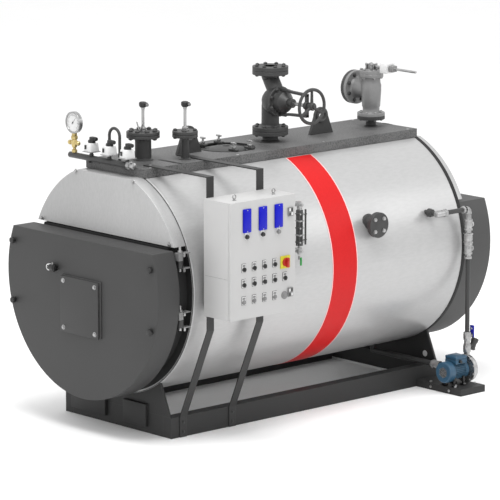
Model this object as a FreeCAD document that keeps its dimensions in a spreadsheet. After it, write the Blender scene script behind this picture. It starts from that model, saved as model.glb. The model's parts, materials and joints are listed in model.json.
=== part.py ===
import FreeCAD, Part
import Sketcher
import math
import os
import re

# Packaged steam boiler on a skid: lagged drum, front door, deck with valves,
# control cabinet, feed pump.  +Z is up, the door faces -Y, the cabinet is on +X.
# The origin is the centre of the skid, on the floor.  Millimetres.

doc = FreeCAD.newDocument("IndustrialBoiler")
sheet = doc.addObject("Spreadsheet::Sheet", "Sizes")

SIZES = {
    # shared clearances
    "Seat": 0.3,
    "Overrun": 10,
    "LongCut": 400,
    # skid
    "SkidWidth": 916,
    "BodyLength": 2104,
    "BeamWidth": 70,
    "BeamHeight": 118,
    "CrossBeamWidth": 60,
    "TrayThickness": 8,
    "SaddleThickness": 14,
    "SaddleInset": 14,
    "SaddleTopHalf": 364,
    # lagged drum
    "DrumClearance": 193,
    "LaggingRadius": 648,
    "LaggingThickness": 12,
    "TubePlateThickness": 24,
    "TubePlateInset": 58,
    # ends
    "EndDepth": 86,
    "RearPanelDepth": 52,
    "PanelInset": 4,
    "PanelRise": 268,
    "DoorOverhang": 2,
    "DoorSplit": 14,
    "DoorDepth": 165,
    "DoorGap": 6,
    "SmokeBoxDepth": 233,
    "FurnaceDrop": 126,
    "FurnaceRadius": 232,
    "FurnaceWall": 14,
    "FurnaceLength": 1700,
    "FlueDrop": 201,
    "FlueRadius": 150,
    "FlueWall": 6,
    "FlueLength": 130,
    "FlueRim": 175,
    "FlueSocket": 60,
    # door fittings
    "HingeOutset": 22,
    "HingeBack": 18,
    "HingeUpperRise": 199,
    "HingeLowerDrop": 130,
    "HingePinRadius": 9,
    "HingeKnuckleRadius": 18,
    "HingeKnuckleLength": 44,
    "HingeArmRoot": 90,
    "HingeLeafWidth": 38,
    "HingeRunningGap": 1,
    "PinClearance": 0.1,
    "BurnerPlateWidth": 326,
    "BurnerPlateHeight": 318,
    "BurnerPlateThickness": 10,
    "BurnerNeckDepth": 12,
    "BurnerNeckMargin": 30,
    "KnobInset": 60,
    "KnobRadius": 18,
    "KnobLength": 25,
    "KnobUpperRise": 170,
    "KnobLowerDrop": 174,
    "SightX": 272,
    "SightRise": 62,
    "SightRadius": 20,
    "SightGlassRadius": 13,
    "SightLength": 16,
    # deck
    "DeckRise": 3,
    "DeckHalfWidth": 252,
    "DeckPlate": 6,
    "DeckHoleGap": 1,
    "NeckRoot": 80,
    "ManwayBack": 824,
    "ManwayOpening": 168,
    "ManwayCoverRadius": 146,
    "ClampAcrossShare": 0.9,
    "ClampAlongShare": 0.42,
    "ManwaySaddleRim": 32,
    "ManwaySaddleDepth": 60,
    "ManwaySaddleDrop": 42,
    "ManwayDrop": 14,
    "ManwayDome": 22,
    "ManwayDomeInset": 30,
    "ClampBarLength": 64,
    "ClampBarWidth": 26,
    "ClampBarThickness": 14,
    "ClampFootRadius": 12,
    "ClampStudRadius": 8,
    "ClampStudHeight": 52,
    "LugInset": 537,
    "LugFootWidth": 186,
    "LugTopRadius": 52,
    "LugHeight": 156,
    "LugThickness": 16,
    "LugHoleRadius": 26,
    "LugBossRadius": 40,
    "LugBossThickness": 30,
    # steam stop valve
    "SteamBack": 343,
    "SteamPipeRadius": 44.5,
    "SteamLegRadius": 50.5,
    "SteamFlangeRadius": 104,
    "SteamFlangeThickness": 24,
    "JointRise": 63,
    "SteamValveLength": 350,
    "SteamStemRise": 176,
    "SteamShoulderDrop": 16,
    "SteamChamberX": 34,
    "SteamChamberRadius": 78,
    "SteamUpperLean": 25,
    "SteamUpperRadius": 46,
    "SteamUpperLength": 150,
    "SteamStubLength": 42,
    "SteamBoreDepth": 60,
    "SteamBoreRadius": 39.5,
    "BonnetX": 68,
    "BonnetFlangeRadius": 88,
    "BonnetFlangeThickness": 18,
    "BonnetRadius": 62,
    "BonnetLength": 44,
    "BonnetNeckRadius": 30,
    "BonnetTaper": 34,
    "GlandRadius": 20,
    "GlandLength": 26,
    "YokeThickness": 20,
    "YokeBar": 15,
    "YokeRootHalf": 78,
    "YokeEndHalf": 66,
    "YokeEndGap": 34,
    "WheelX": 348,
    "WheelRadius": 106,
    "WheelRimRadius": 9,
    "WheelHubRadius": 22,
    "WheelHubLength": 40,
    "SpokeRadius": 7,
    "StemRadius": 10,
    "StemClearance": 0.1,
    # safety valve
    "SafetyRearInset": 126,
    "SafetyPipeRadius": 30,
    "SafetyInletFlangeRadius": 82,
    "SafetyOutletFlangeRadius": 100,
    "SafetyFlangeThickness": 20,
    "SafetyOutletRise": 157,
    "SafetyOutletReach": 134,
    "SafetyOutletNeck": 54,
    "SafetyBoreRadius": 40,
    "SafetyHeight": 251,
    "SafetyLowRadius": 43,
    "SafetyMidRadius": 60,
    "SafetyBarrelRadius": 52,
    "SafetyCapRadius": 71,
    "ForkThickness": 9,
    "ForkWidth": 62,
    "ForkHeight": 66,
    "LeverThickness": 12,
    "LeverDepth": 14,
    "LeverRise": 38,
    "LeverTail": 28,
    "LeverLength": 400,
    "WeightX": 106,
    "WeightLength": 56,
    "WeightWidth": 80,
    "WeightHeight": 66,
    "CompanionThickness": 24,
    # level towers and their probes
    "TowerOneBack": 199,
    "TowerOneNeckRadius": 46,
    "TowerOneFlangeRadius": 94,
    "TowerTwoX": 145,
    "TowerTwoBack": 384,
    "TowerTwoNeckRadius": 23,
    "TowerTwoFlangeRadius": 72,
    "TowerRise": 144,
    "TowerFlangeThickness": 18,
    "ProbeRadius": 9,
    "ProbeGlandRadius": 20,
    "ProbeGlandLength": 24,
    "ProbeRise": 154,
    "ProbeHeadRadius": 20,
    "ProbeHeadLength": 30,
    # gauge header
    "HeaderRadius": 17,
    "HeaderRise": 10,
    "HeaderLeft": -372,
    "HeaderRight": 136,
    "HeaderFootWidth": 24,
    "HeaderFootDepth": 12,
    "PlugLength": 48,
    "PlugRadius": 20,
    "GaugeX": -332,
    "GaugeRise": 196,
    "GaugeRadius": 62,
    "GaugeDepth": 32,
    "CockRadius": 14,
    "CockStemRadius": 10,
    "CockHalfLength": 44,
    "CockDrop": 116,
    "SwitchPitch": 154,
    "SwitchFirstX": -184,
    "SwitchWidth": 62,
    "SwitchDepth": 66,
    "SwitchHeight": 54,
    "SwitchStem": 22,
    "SwitchStemRadius": 10,
    "SiphonX": -37,
    "SiphonBack": 45,
    "SiphonRise": 148,
    "SiphonRadius": 44,
    "SiphonPipeRadius": 8.5,
    # cabinet
    "CabinetStandOff": 44,
    "CabinetDepth": 200,
    "CabinetDoorThickness": 18,
    "CabinetBack": 34,
    "CabinetWidth": 480,
    "CabinetDrop": 111,
    "CabinetHeight": 652,
    "CabinetWall": 14,
    "CabinetDoorGap": 0.3,
    "StrapWidth": 50,
    "StrapThickness": 6,
    "StrapOneInset": 50,
    "StrapTwoInset": 62,
    "StrapOneInner": 163,
    "StrapTwoInner": 20,
    "StrapBendDrop": 90,
    "StrapBendLap": 2,
    "ControlPitch": 76,
    "ControlInset": 93,
    "DisplayWidth": 60,
    "DisplayHeight": 132,
    "DisplayThickness": 12,
    "DisplayPitch": 117,
    "DisplayInset": 117,
    "DisplayRise": 545,
    "KnobRowRise": 456,
    "RowOneRise": 287,
    "RowTwoRise": 201,
    "RowThreeRise": 105,
    "ButtonRadius": 15,
    "ButtonLength": 16,
    "MainSwitchSize": 70,
    "MainSwitchInset": 78,
    "MainSwitchRise": 280,
    "MainSwitchPlate": 6,
    "MainSwitchHubRadius": 24,
    "MainSwitchHubLength": 10,
    "MainSwitchGripWidth": 14,
    "MainSwitchGripLength": 56,
    "MainSwitchGripDepth": 28,
    # level gauge
    "GaugeGlassOutset": 54,
    "GaugeGlassBack": 226,
    "GlassTopRise": 424,
    "GlassLowRise": 159,
    "GlassPipeRadius": 11,
    "GlassCockSize": 34,
    "GlassCockHalf": 20,
    "GlassBodyWidth": 30,
    "GlassBodyMargin": 30,
    "GlassTubeRadius": 8,
    "GlassBarOffset": 46,
    "GlassBarSize": 9,
    # side flange
    "SideFlangeFront": 727,
    "SideFlangeRise": 224,
    "SideFlangeOutset": 14,
    "SideFlangeRadius": 73,
    "SideFlangeThickness": 14,
    "SideNeckRadius": 40,
    # feed line
    "FeedOutset": 52,
    "FeedRise": 232,
    "FeedNozzleFront": 267,
    "RiserFront": 12,
    "FeedPipeRadius": 14,
    "FeedSocketRadius": 22,
    "FeedSocketLength": 30,
    "FeedSocketInset": 62,
    "FeedTeeRadius": 20,
    "FeedTeeLength": 96,
    "FeedTeeLead": 30,
    "FeedFittingRadius": 26,
    "FeedBodyRadius": 18,
    "CheckLength": 293,
    "UpperValveDrop": 120,
    "LowerValveDrop": 262,
    "ValveLength": 56,
    "ValveNeckRadius": 12,
    "ValveNeckLength": 34,
    "UnionDrop": 198,
    "UnionLength": 52,
    "BallValveHeight": 316,
    "BallValveRadius": 24,
    "BallValveStem": 38,
    "BallStemRadius": 7,
    "BallBodyDrop": 100,
    "BallBodyLength": 64,
    "BallPipeRadius": 18,
    "LeverGripWidth": 32,
    "LeverGripThickness": 6,
    "LeverGripTail": 12,
    "LeverGripLength": 72,
    "StrainerOffset": 50,
    "StrainerDrop": 86,
    "StrainerRadius": 20,
    "StrainerLength": 70,
    "StrainerLean": 18,
    "StrainerNeckDrop": 60,
    # pump
    "PlatformLength": 202,
    "PlatformSetBack": 25,
    "PlatformOverhang": 122,
    "PlatformHeight": 40,
    "PumpAxisHeight": 126,
    "MotorRadius": 58,
    "MotorLength": 176,
    "FanCoverRadius": 63,
    "FanCoverLength": 50,
    "MotorFootWidth": 116,
    "MotorFootLength": 100,
    "MotorFootInset": 50,
    "TerminalWidth": 92,
    "TerminalLength": 92,
    "TerminalHeight": 44,
    "TerminalSink": 12,
    "TerminalInset": 62,
    "CasingRadius": 80,
    "CasingDepth": 44,
    "CasingRim": 5,
    "CasingRimDepth": 10,
    # drain
    "DrainX": 60,
    "DrainRearInset": 157,
    "DrainHeight": 150,
    "DrainPipeRadius": 16,
    "DrainCollarRadius": 22,
    "DrainCollarLength": 66,
    "DrainClearance": 10,
}

# Places that follow from the sizes, as expressions on them and on each other.
PLACES = {
    "FrontEnd": "-BodyLength / 2",
    "RearEnd": "BodyLength / 2",
    "DrumAxis": "LaggingRadius + DrumClearance",
    "InnerWidth": "SkidWidth - 2 * BeamWidth",
    "SaddleTop": "DrumAxis - sqrt(LaggingRadius ^ 2 - SaddleTopHalf ^ 2)",
    "TubePlateRadius": "LaggingRadius - TubePlateInset",
    "PanelRadius": "LaggingRadius - PanelInset",
    "PanelLow": "DrumAxis + PanelRise",
    "DoorTop": "PanelLow - DoorSplit",
    "DoorRadius": "LaggingRadius + DoorOverhang",
    "DoorBack": "FrontEnd - EndDepth - DoorGap",
    "DoorFront": "DoorBack - DoorDepth",
    "FurnaceHeight": "DrumAxis - FurnaceDrop",
    "FlueHeight": "DrumAxis - FlueDrop",
    "HingeX": "TubePlateRadius + HingeOutset",
    "HingeY": "FrontEnd - EndDepth + HingeBack",
    "DeckTop": "DrumAxis + LaggingRadius + DeckRise",
    "SkirtLow": "DrumAxis + sqrt(LaggingRadius ^ 2 - DeckHalfWidth ^ 2) + DeckRise",
    "SkirtFront": "FrontEnd - DeckPlate - Seat",
    "ManwayY": "FrontEnd + ManwayBack",
    "ManwayTop": "DeckTop - ManwayDrop",
    "JointHeight": "DeckTop + JointRise",
    "SteamY": "ManwayY + SteamBack",
    "SteamTop": "JointHeight + SteamValveLength",
    "SteamStem": "JointHeight + SteamStemRise",
    "YokeEnd": "WheelX - YokeEndGap",
    "SafetyY": "RearEnd - SafetyRearInset",
    "SafetyOutlet": "JointHeight + SafetyOutletRise",
    "SafetyTop": "JointHeight + SafetyHeight",
    "TowerOneY": "FrontEnd + TowerOneBack",
    "TowerTwoY": "FrontEnd + TowerTwoBack",
    "TowerJoint": "DeckTop + TowerRise",
    "ProbeTop": "TowerJoint + ProbeRise",
    "HeaderY": "SkirtFront - HeaderRadius",
    "HeaderHeight": "DeckTop + HeaderRise",
    "GaugeHeight": "DeckTop + GaugeRise",
    "CabinetRear": "LaggingRadius + CabinetStandOff",
    "CabinetFrontY": "FrontEnd + CabinetBack",
    "CabinetLow": "DrumAxis - CabinetDrop",
    "CabinetDoorX": "CabinetRear + CabinetDepth + CabinetDoorGap",
    "CabinetFace": "CabinetDoorX + CabinetDoorThickness",
    "MainSwitchY": "CabinetFrontY + CabinetWidth - MainSwitchInset",
    "MainSwitchHeight": "CabinetLow + MainSwitchRise",
    "StrapOneY": "CabinetFrontY + StrapOneInset",
    "StrapTwoY": "CabinetFrontY + CabinetWidth - StrapTwoInset",
    "StrapBend": "CabinetLow - StrapBendDrop",
    "GlassX": "LaggingRadius + GaugeGlassOutset",
    "GlassY": "CabinetFrontY + CabinetWidth + GaugeGlassBack",
    "GlassTop": "DrumAxis + GlassTopRise",
    "GlassLow": "DrumAxis + GlassLowRise",
    "SideFlangeX": "LaggingRadius + SideFlangeOutset",
    "SideFlangeY": "RearEnd - SideFlangeFront",
    "SideFlangeHeight": "DrumAxis + SideFlangeRise",
    "FeedX": "LaggingRadius + FeedOutset",
    "FeedHeight": "DrumAxis + FeedRise",
    "FeedNozzleY": "RearEnd - FeedNozzleFront",
    "RiserY": "RearEnd - RiserFront",
    "RiserLow": "BallValveHeight + BallValveRadius",
    "RiserHigh": "FeedHeight - CheckLength",
    "PumpRear": "RiserY + CasingDepth / 2",
    "MotorEnd": "PumpRear - CasingDepth",
    "MotorFront": "MotorEnd - MotorLength",
    "DrainY": "RearEnd - DrainRearInset",
    "DrainEnd": "FeedX - FanCoverRadius - DrainClearance",
}

for row, (alias, size) in enumerate(SIZES.items(), start=1):
    sheet.set(f"A{row}", alias)
    sheet.set(f"B{row}", str(size))
    sheet.setAlias(f"B{row}", alias)
doc.recompute()

SUB_PARTS = []
AXES = {
    "X": FreeCAD.Rotation(FreeCAD.Vector(0, 1, 0), 90),
    "-X": FreeCAD.Rotation(FreeCAD.Vector(0, 1, 0), -90),
    "Y": FreeCAD.Rotation(FreeCAD.Vector(1, 0, 0), -90),
    "Z": FreeCAD.Rotation(),
}


def cells(text):
    """Expression text in which each name is its cell, or the places' own expression."""
    def expand(match):
        name = match.group(0)
        if name in PLACES:
            return f"({cells(PLACES[name])})"
        if name not in SIZES:
            raise KeyError(name)
        return f"Sizes.{name}"
    return re.sub(r"\b[A-Z][A-Za-z]+\b", expand, str(text))


def value(text):
    return float(sheet.evalExpression(cells(text)))


def bind(thing, **sizes):
    for name, text in sizes.items():
        thing.setExpression(name, cells(text))
    return thing


def place(thing, spot, axis="Z"):
    thing.Placement = FreeCAD.Placement(FreeCAD.Vector(), AXES[axis])
    for name, text in zip("xyz", spot):
        thing.setExpression(f"Placement.Base.{name}", cells(text))
    return thing


def lean(thing, axis, angle):
    """Turns a placed piece about its own start point."""
    turn = FreeCAD.Rotation(FreeCAD.Vector(*axis), angle)
    thing.Placement.Rotation = turn.multiply(thing.Placement.Rotation)
    return thing


def block(low, size):
    box = bind(doc.addObject("Part::Box", "Block"), Length=size[0], Width=size[1], Height=size[2])
    return place(box, low)


def rod(start, axis, radius, length):
    return place(bind(doc.addObject("Part::Cylinder", "Rod"), Radius=radius, Height=length), start, axis)


def cone(start, axis, radius, end_radius, length):
    body = doc.addObject("Part::Cone", "Cone")
    return place(bind(body, Radius1=radius, Radius2=end_radius, Height=length), start, axis)


def ball(centre, radius):
    return place(bind(doc.addObject("Part::Sphere", "Ball"), Radius=radius), centre)


def ring(centre, axis, radius, wire):
    return place(bind(doc.addObject("Part::Torus", "Ring"), Radius1=radius, Radius2=wire), centre, axis)


def gather(kind, name, pieces):
    group = doc.addObject(kind, name)
    group.Shapes = list(pieces)
    group.Refine = True
    return group


def fuse(*pieces):
    return gather("Part::MultiFuse", "Joined", pieces)


def common(*pieces):
    return gather("Part::MultiCommon", "Shared", pieces)


def cut(base, *tools):
    trimmed = doc.addObject("Part::Cut", "Trimmed")
    trimmed.Base = base
    trimmed.Tool = tools[0] if len(tools) == 1 else fuse(*tools)
    trimmed.Refine = True
    return trimmed


def compound(*pieces):
    group = doc.addObject("Part::Compound", "Group")
    group.Links = list(pieces)
    return group


def plate_body(points, plane, thickness, spot):
    """Padded outline in a Body: each corner of its sketch is held by two cells."""
    body = doc.addObject("PartDesign::Body", "Outline")
    sketch = body.newObject("Sketcher::SketchObject", "Profile")
    origin_plane = [f for f in body.Origin.OriginFeatures if f.Role == plane][0]
    sketch.AttachmentSupport = [(origin_plane, "")]
    sketch.MapMode = "FlatFace"
    corners = [FreeCAD.Vector(value(u), value(v), 0) for u, v in points]
    count = len(corners)
    for i in range(count):
        sketch.addGeometry(Part.LineSegment(corners[i], corners[(i + 1) % count]), False)
    for i in range(count):
        sketch.addConstraint(Sketcher.Constraint("Coincident", i, 2, (i + 1) % count, 1))
    for i, (u, v) in enumerate(points):
        for kind, text, size in (("DistanceX", u, corners[i].x), ("DistanceY", v, corners[i].y)):
            held = sketch.addConstraint(Sketcher.Constraint(kind, -1, 1, i, 1, size))
            sketch.setExpression(f"Constraints[{held}]", cells(text))
    pad = body.newObject("PartDesign::Pad", "Pad")
    pad.Profile = sketch
    bind(pad, Length=thickness)
    pad.Midplane = True
    body.Tip = pad
    return place(body, spot)


def sub_part(label, thing):
    thing.Label = label
    SUB_PARTS.append(thing)
    return thing


def along_drum(radius, start, length):
    return rod(("0", start, "DrumAxis"), "Y", radius, length)


def drum_space(clearance="Seat"):
    """The drum's own cylinder, grown by a clearance, for trimming what seats on it."""
    return along_drum(f"LaggingRadius + {clearance}", "-BodyLength", "2 * BodyLength")


def slab(start, length, low, high):
    """Level slab across the drum, from one height to another."""
    return block(("-2 * LaggingRadius", start, low), ("4 * LaggingRadius", length, f"({high}) - ({low})"))


# The skid is two long beams and two cross beams, with a drip tray between them.
def make_skid():
    beam = ("BeamWidth", "BodyLength", "BeamHeight")
    sub_part("skid_beam_left", block(("-SkidWidth / 2", "FrontEnd", "0"), beam))
    sub_part("skid_beam_right", block(("SkidWidth / 2 - BeamWidth", "FrontEnd", "0"), beam))
    cross_beams = [
        block(("-InnerWidth / 2", start, "0"), ("InnerWidth", "CrossBeamWidth", "BeamHeight"))
        for start in ("FrontEnd", "RearEnd - CrossBeamWidth")
    ]
    sub_part("skid_cross_beams", compound(*cross_beams))
    tray_length = "BodyLength - 2 * CrossBeamWidth"
    sub_part("drip_tray", block(("-InnerWidth / 2", "FrontEnd + CrossBeamWidth", "0"),
                                ("InnerWidth", tray_length, "TrayThickness")))


def make_saddle(label, middle):
    foot_half = "SkidWidth / 2 - SaddleInset"
    outline = [
        (f"-({foot_half})", "BeamHeight"),
        (foot_half, "BeamHeight"),
        ("SaddleTopHalf", "SaddleTop"),
        ("-SaddleTopHalf", "SaddleTop"),
    ]
    web = plate_body(outline, "XZ_Plane", "SaddleThickness", ("0", middle, "0"))
    sub_part(label, cut(web, drum_space()))


def make_drum():
    outer = along_drum("LaggingRadius", "FrontEnd", "BodyLength")
    bore = along_drum("LaggingRadius - LaggingThickness", "FrontEnd - Overrun", "BodyLength + 2 * Overrun")
    manway = rod(("0", "ManwayY", "DrumAxis"), "Z", "ManwayOpening", "LaggingRadius")
    sub_part("lagging_drum", cut(outer, bore, manway))
    web_radius = "LaggingRadius - LaggingThickness"
    front_web = along_drum(web_radius, "FrontEnd", "TubePlateThickness")
    boss = common(
        along_drum("TubePlateRadius", "FrontEnd - EndDepth", "EndDepth"),
        slab("FrontEnd - EndDepth", "EndDepth", "0", "PanelLow - DoorGap"),
    )
    opening = rod(("0", "-BodyLength", "FurnaceHeight"), "Y", "FurnaceRadius + FurnaceWall", "BodyLength")
    sub_part("front_tube_plate", cut(fuse(front_web, boss), opening))
    flue = rod(("0", "FrontEnd - EndDepth", "FurnaceHeight"), "Y", "FurnaceRadius + FurnaceWall",
               "EndDepth + FurnaceLength")
    fire = rod(("0", "FrontEnd - EndDepth - Overrun", "FurnaceHeight"), "Y", "FurnaceRadius",
               "EndDepth + FurnaceLength - FurnaceWall + Overrun")
    sub_part("furnace_tube", cut(flue, fire))
    rear_web = along_drum(web_radius, "RearEnd - TubePlateThickness", "TubePlateThickness")
    sub_part("rear_tube_plate", rear_web)


def make_end_panels():
    panels = (
        ("front_upper_panel", "FrontEnd - EndDepth", "EndDepth"),
        ("rear_upper_panel", "RearEnd", "RearPanelDepth"),
    )
    for label, start, depth in panels:
        disc = along_drum("PanelRadius", start, depth)
        sub_part(label, common(disc, slab(start, depth, "PanelLow", "SkirtLow")))
    disc = along_drum("PanelRadius", "RearEnd", "SmokeBoxDepth")
    box = common(disc, slab("RearEnd", "SmokeBoxDepth", "0", "DoorTop"))
    end = "RearEnd + SmokeBoxDepth"
    bore = rod(("0", f"{end} - FlueSocket", "FlueHeight"), "Y", "FlueRadius", "FlueSocket + Overrun")
    sub_part("rear_smoke_box", cut(box, bore))
    outer = rod(("0", end, "FlueHeight"), "Y", "FlueRadius + FlueWall", "FlueLength")
    rim = rod(("0", end, "FlueHeight"), "Y", "FlueRim", "FlueWall")
    inner = rod(("0", f"{end} - Overrun", "FlueHeight"), "Y", "FlueRadius", "FlueLength + 2 * Overrun")
    sub_part("flue_collar", cut(fuse(outer, rim), inner))


def make_door():
    disc = along_drum("DoorRadius", "DoorFront", "DoorDepth")
    sub_part("front_door", common(disc, slab("DoorFront", "DoorDepth", "0", "DoorTop")))
    neck = rod(("0", "DoorFront - BurnerNeckDepth", "FurnaceHeight"), "Y",
               "BurnerPlateWidth / 2 - BurnerNeckMargin", "BurnerNeckDepth")
    plate = block(("-BurnerPlateWidth / 2", "DoorFront - BurnerNeckDepth - BurnerPlateThickness",
                   "FurnaceHeight - BurnerPlateHeight / 2"),
                  ("BurnerPlateWidth", "BurnerPlateThickness", "BurnerPlateHeight"))
    sub_part("burner_cover_plate", fuse(plate, neck))
    knobs = [
        rod((f"{side}(DoorRadius - KnobInset)", "DoorFront - KnobLength", height), "Y",
            "KnobRadius", "KnobLength")
        for side in ("-", "")
        for height in ("DrumAxis + KnobUpperRise", "DrumAxis - KnobLowerDrop")
    ]
    sub_part("door_clamp_knobs", compound(*knobs))
    sight = ("-SightX", "DoorFront - SightLength", "DrumAxis + SightRise")
    port = ("-SightX", "DoorFront - SightLength - SightLength / 2", "DrumAxis + SightRise")
    barrel = rod(sight, "Y", "SightRadius", "SightLength")
    sub_part("sight_glass", cut(barrel, rod(port, "Y", "SightGlassRadius", "SightLength")))


def hinge_knuckle(low):
    return rod(("HingeX", "HingeY", low), "Z", "HingeKnuckleRadius", "HingeKnuckleLength - HingeRunningGap")


def make_hinges():
    fixed = []
    moving = []
    for middle in ("DrumAxis + HingeUpperRise", "DrumAxis - HingeLowerDrop"):
        low = f"{middle} - HingeKnuckleLength"
        high = f"{middle} + HingeRunningGap"
        thick = "HingeKnuckleLength - HingeRunningGap"
        # the arm stands on the tube plate and carries the pin
        arm = block(("TubePlateRadius - HingeArmRoot", "HingeY", low),
                    ("HingeX - TubePlateRadius + HingeArmRoot", "HingeKnuckleRadius", thick))
        plate = along_drum("TubePlateRadius", "-BodyLength", "BodyLength")
        pin = rod(("HingeX", "HingeY", low), "Z", "HingePinRadius", "2 * HingeKnuckleLength")
        fixed.append(fuse(hinge_knuckle(low), cut(arm, plate), pin))
        bore = rod(("HingeX", "HingeY", middle), "Z", "HingePinRadius + PinClearance",
                   "2 * HingeKnuckleLength")
        leaf = block(("HingeX - HingeLeafWidth / 2", "DoorBack", high),
                     ("HingeLeafWidth", "DoorGap + HingeBack - HingePinRadius", thick))
        moving.append(cut(fuse(hinge_knuckle(high), leaf), bore))
    sub_part("door_hinge_brackets", compound(*fixed))
    sub_part("door_hinge_knuckles", compound(*moving))


def make_deck():
    width = "2 * DeckHalfWidth"
    length = "BodyLength + 2 * DeckPlate + 2 * Seat"
    plate = block(("-DeckHalfWidth", "SkirtFront", "DeckTop - DeckPlate"), (width, length, "DeckPlate"))
    skirts = [
        block((x, "SkirtFront", "SkirtLow + Seat"), ("DeckPlate", length, "DeckTop - SkirtLow - Seat"))
        for x in ("-DeckHalfWidth", "DeckHalfWidth - DeckPlate")
    ]
    ends = [
        block(("-DeckHalfWidth", y, "SkirtLow + Seat"), (width, "DeckPlate", "DeckTop - SkirtLow - Seat"))
        for y in ("SkirtFront", "RearEnd + Seat")
    ]
    drum = along_drum("LaggingRadius + Seat", "FrontEnd - Seat", "BodyLength + 2 * Seat")
    passing = (
        ("0", "ManwayY", "ManwayOpening"),
        ("0", "SteamY", "SteamPipeRadius + DeckHoleGap"),
        ("0", "SafetyY", "SafetyPipeRadius + DeckHoleGap"),
        ("0", "TowerOneY", "TowerOneNeckRadius + DeckHoleGap"),
        ("TowerTwoX", "TowerTwoY", "TowerTwoNeckRadius + DeckHoleGap"),
    )
    holes = [rod((x, y, "SkirtLow - Overrun"), "Z", radius, "LongCut") for x, y, radius in passing]
    sub_part("top_deck", cut(fuse(plate, *skirts, *ends), drum, *holes))


def make_manway():
    inner_drum = drum_space("(-LaggingThickness - Seat)")
    saddle_top = "DeckTop - ManwaySaddleDrop"
    saddle = common(
        rod(("0", "ManwayY", f"{saddle_top} - ManwaySaddleDepth"), "Z", "ManwayOpening + ManwaySaddleRim",
            "ManwaySaddleDepth"),
        inner_drum,
    )
    neck = rod(("0", "ManwayY", f"{saddle_top} - Overrun"), "Z", "ManwayCoverRadius",
               "ManwaySaddleDrop - ManwayDrop + Overrun")
    dome_radius = "2 * ManwayCoverRadius"
    dome = common(
        ball(("0", "ManwayY", f"ManwayTop - {dome_radius} + ManwayDome"), dome_radius),
        rod(("0", "ManwayY", "ManwayTop"), "Z", "ManwayCoverRadius - ManwayDomeInset", "2 * ManwayDome"),
    )
    sub_part("manway_cover", fuse(saddle, neck, dome))
    clamps = []
    for side_x in ("-", ""):
        for side_y in ("-", "+"):
            x = f"{side_x}ManwayCoverRadius * ClampAcrossShare"
            y = f"ManwayY {side_y} ManwayCoverRadius * ClampAlongShare"
            foot = rod((x, y, "ManwayTop"), "Z", "ClampFootRadius", "ManwayDrop")
            bar = block((f"{x} - ClampBarLength / 2", f"{y} - ClampBarWidth / 2", "DeckTop"),
                        ("ClampBarLength", "ClampBarWidth", "ClampBarThickness"))
            stud = rod((x, y, "DeckTop"), "Z", "ClampStudRadius", "ClampStudHeight")
            clamps.append(fuse(foot, bar, stud))
    sub_part("manway_clamps", compound(*clamps))


def make_lugs():
    half = "LugFootWidth / 2"
    crown = "LugHeight - LugTopRadius"
    outline = [
        (f"-{half}", "0"),
        (half, "0"),
        ("LugTopRadius", crown),
        ("-LugTopRadius", crown),
    ]
    lugs = (("lifting_lug_front", "FrontEnd + LugInset"), ("lifting_lug_rear", "RearEnd - LugInset"))
    for label, middle in lugs:
        web = plate_body(outline, "YZ_Plane", "LugThickness", ("0", middle, "DeckTop"))
        eye = f"DeckTop + {crown}"
        top = rod(("-LugThickness / 2", middle, eye), "X", "LugTopRadius", "LugThickness")
        boss = rod(("-LugBossThickness / 2", middle, eye), "X", "LugBossRadius", "LugBossThickness")
        hole = rod(("-LugBossThickness", middle, eye), "X", "LugHoleRadius", "2 * LugBossThickness")
        sub_part(label, cut(fuse(web, top, boss), hole))


def deck_neck(x, y, radius, top):
    """Pipe stub from the drum's top to the underside of a flange."""
    return cut(rod((x, y, "DeckTop - NeckRoot"), "Z", radius, f"{top} - DeckTop + NeckRoot"), drum_space())


def make_tower(number, x, y, neck_radius, flange_radius):
    thick = "TowerFlangeThickness"
    neck = deck_neck(x, y, neck_radius, f"TowerJoint - {thick}")
    lower = rod((x, y, f"TowerJoint - {thick}"), "Z", flange_radius, thick)
    sub_part(f"level_tower_{number}", fuse(neck, lower))
    cover = rod((x, y, "TowerJoint"), "Z", flange_radius, thick)
    gland = rod((x, y, f"TowerJoint + {thick}"), "Z", "ProbeGlandRadius", "ProbeGlandLength")
    stem = rod((x, y, f"TowerJoint + {thick}"), "Z", "ProbeRadius", f"ProbeRise - {thick}")
    head = rod((x, y, "ProbeTop"), "Z", "ProbeHeadRadius", "ProbeHeadLength")
    sub_part(f"level_probe_{number}", fuse(cover, gland, stem, head))


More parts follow.
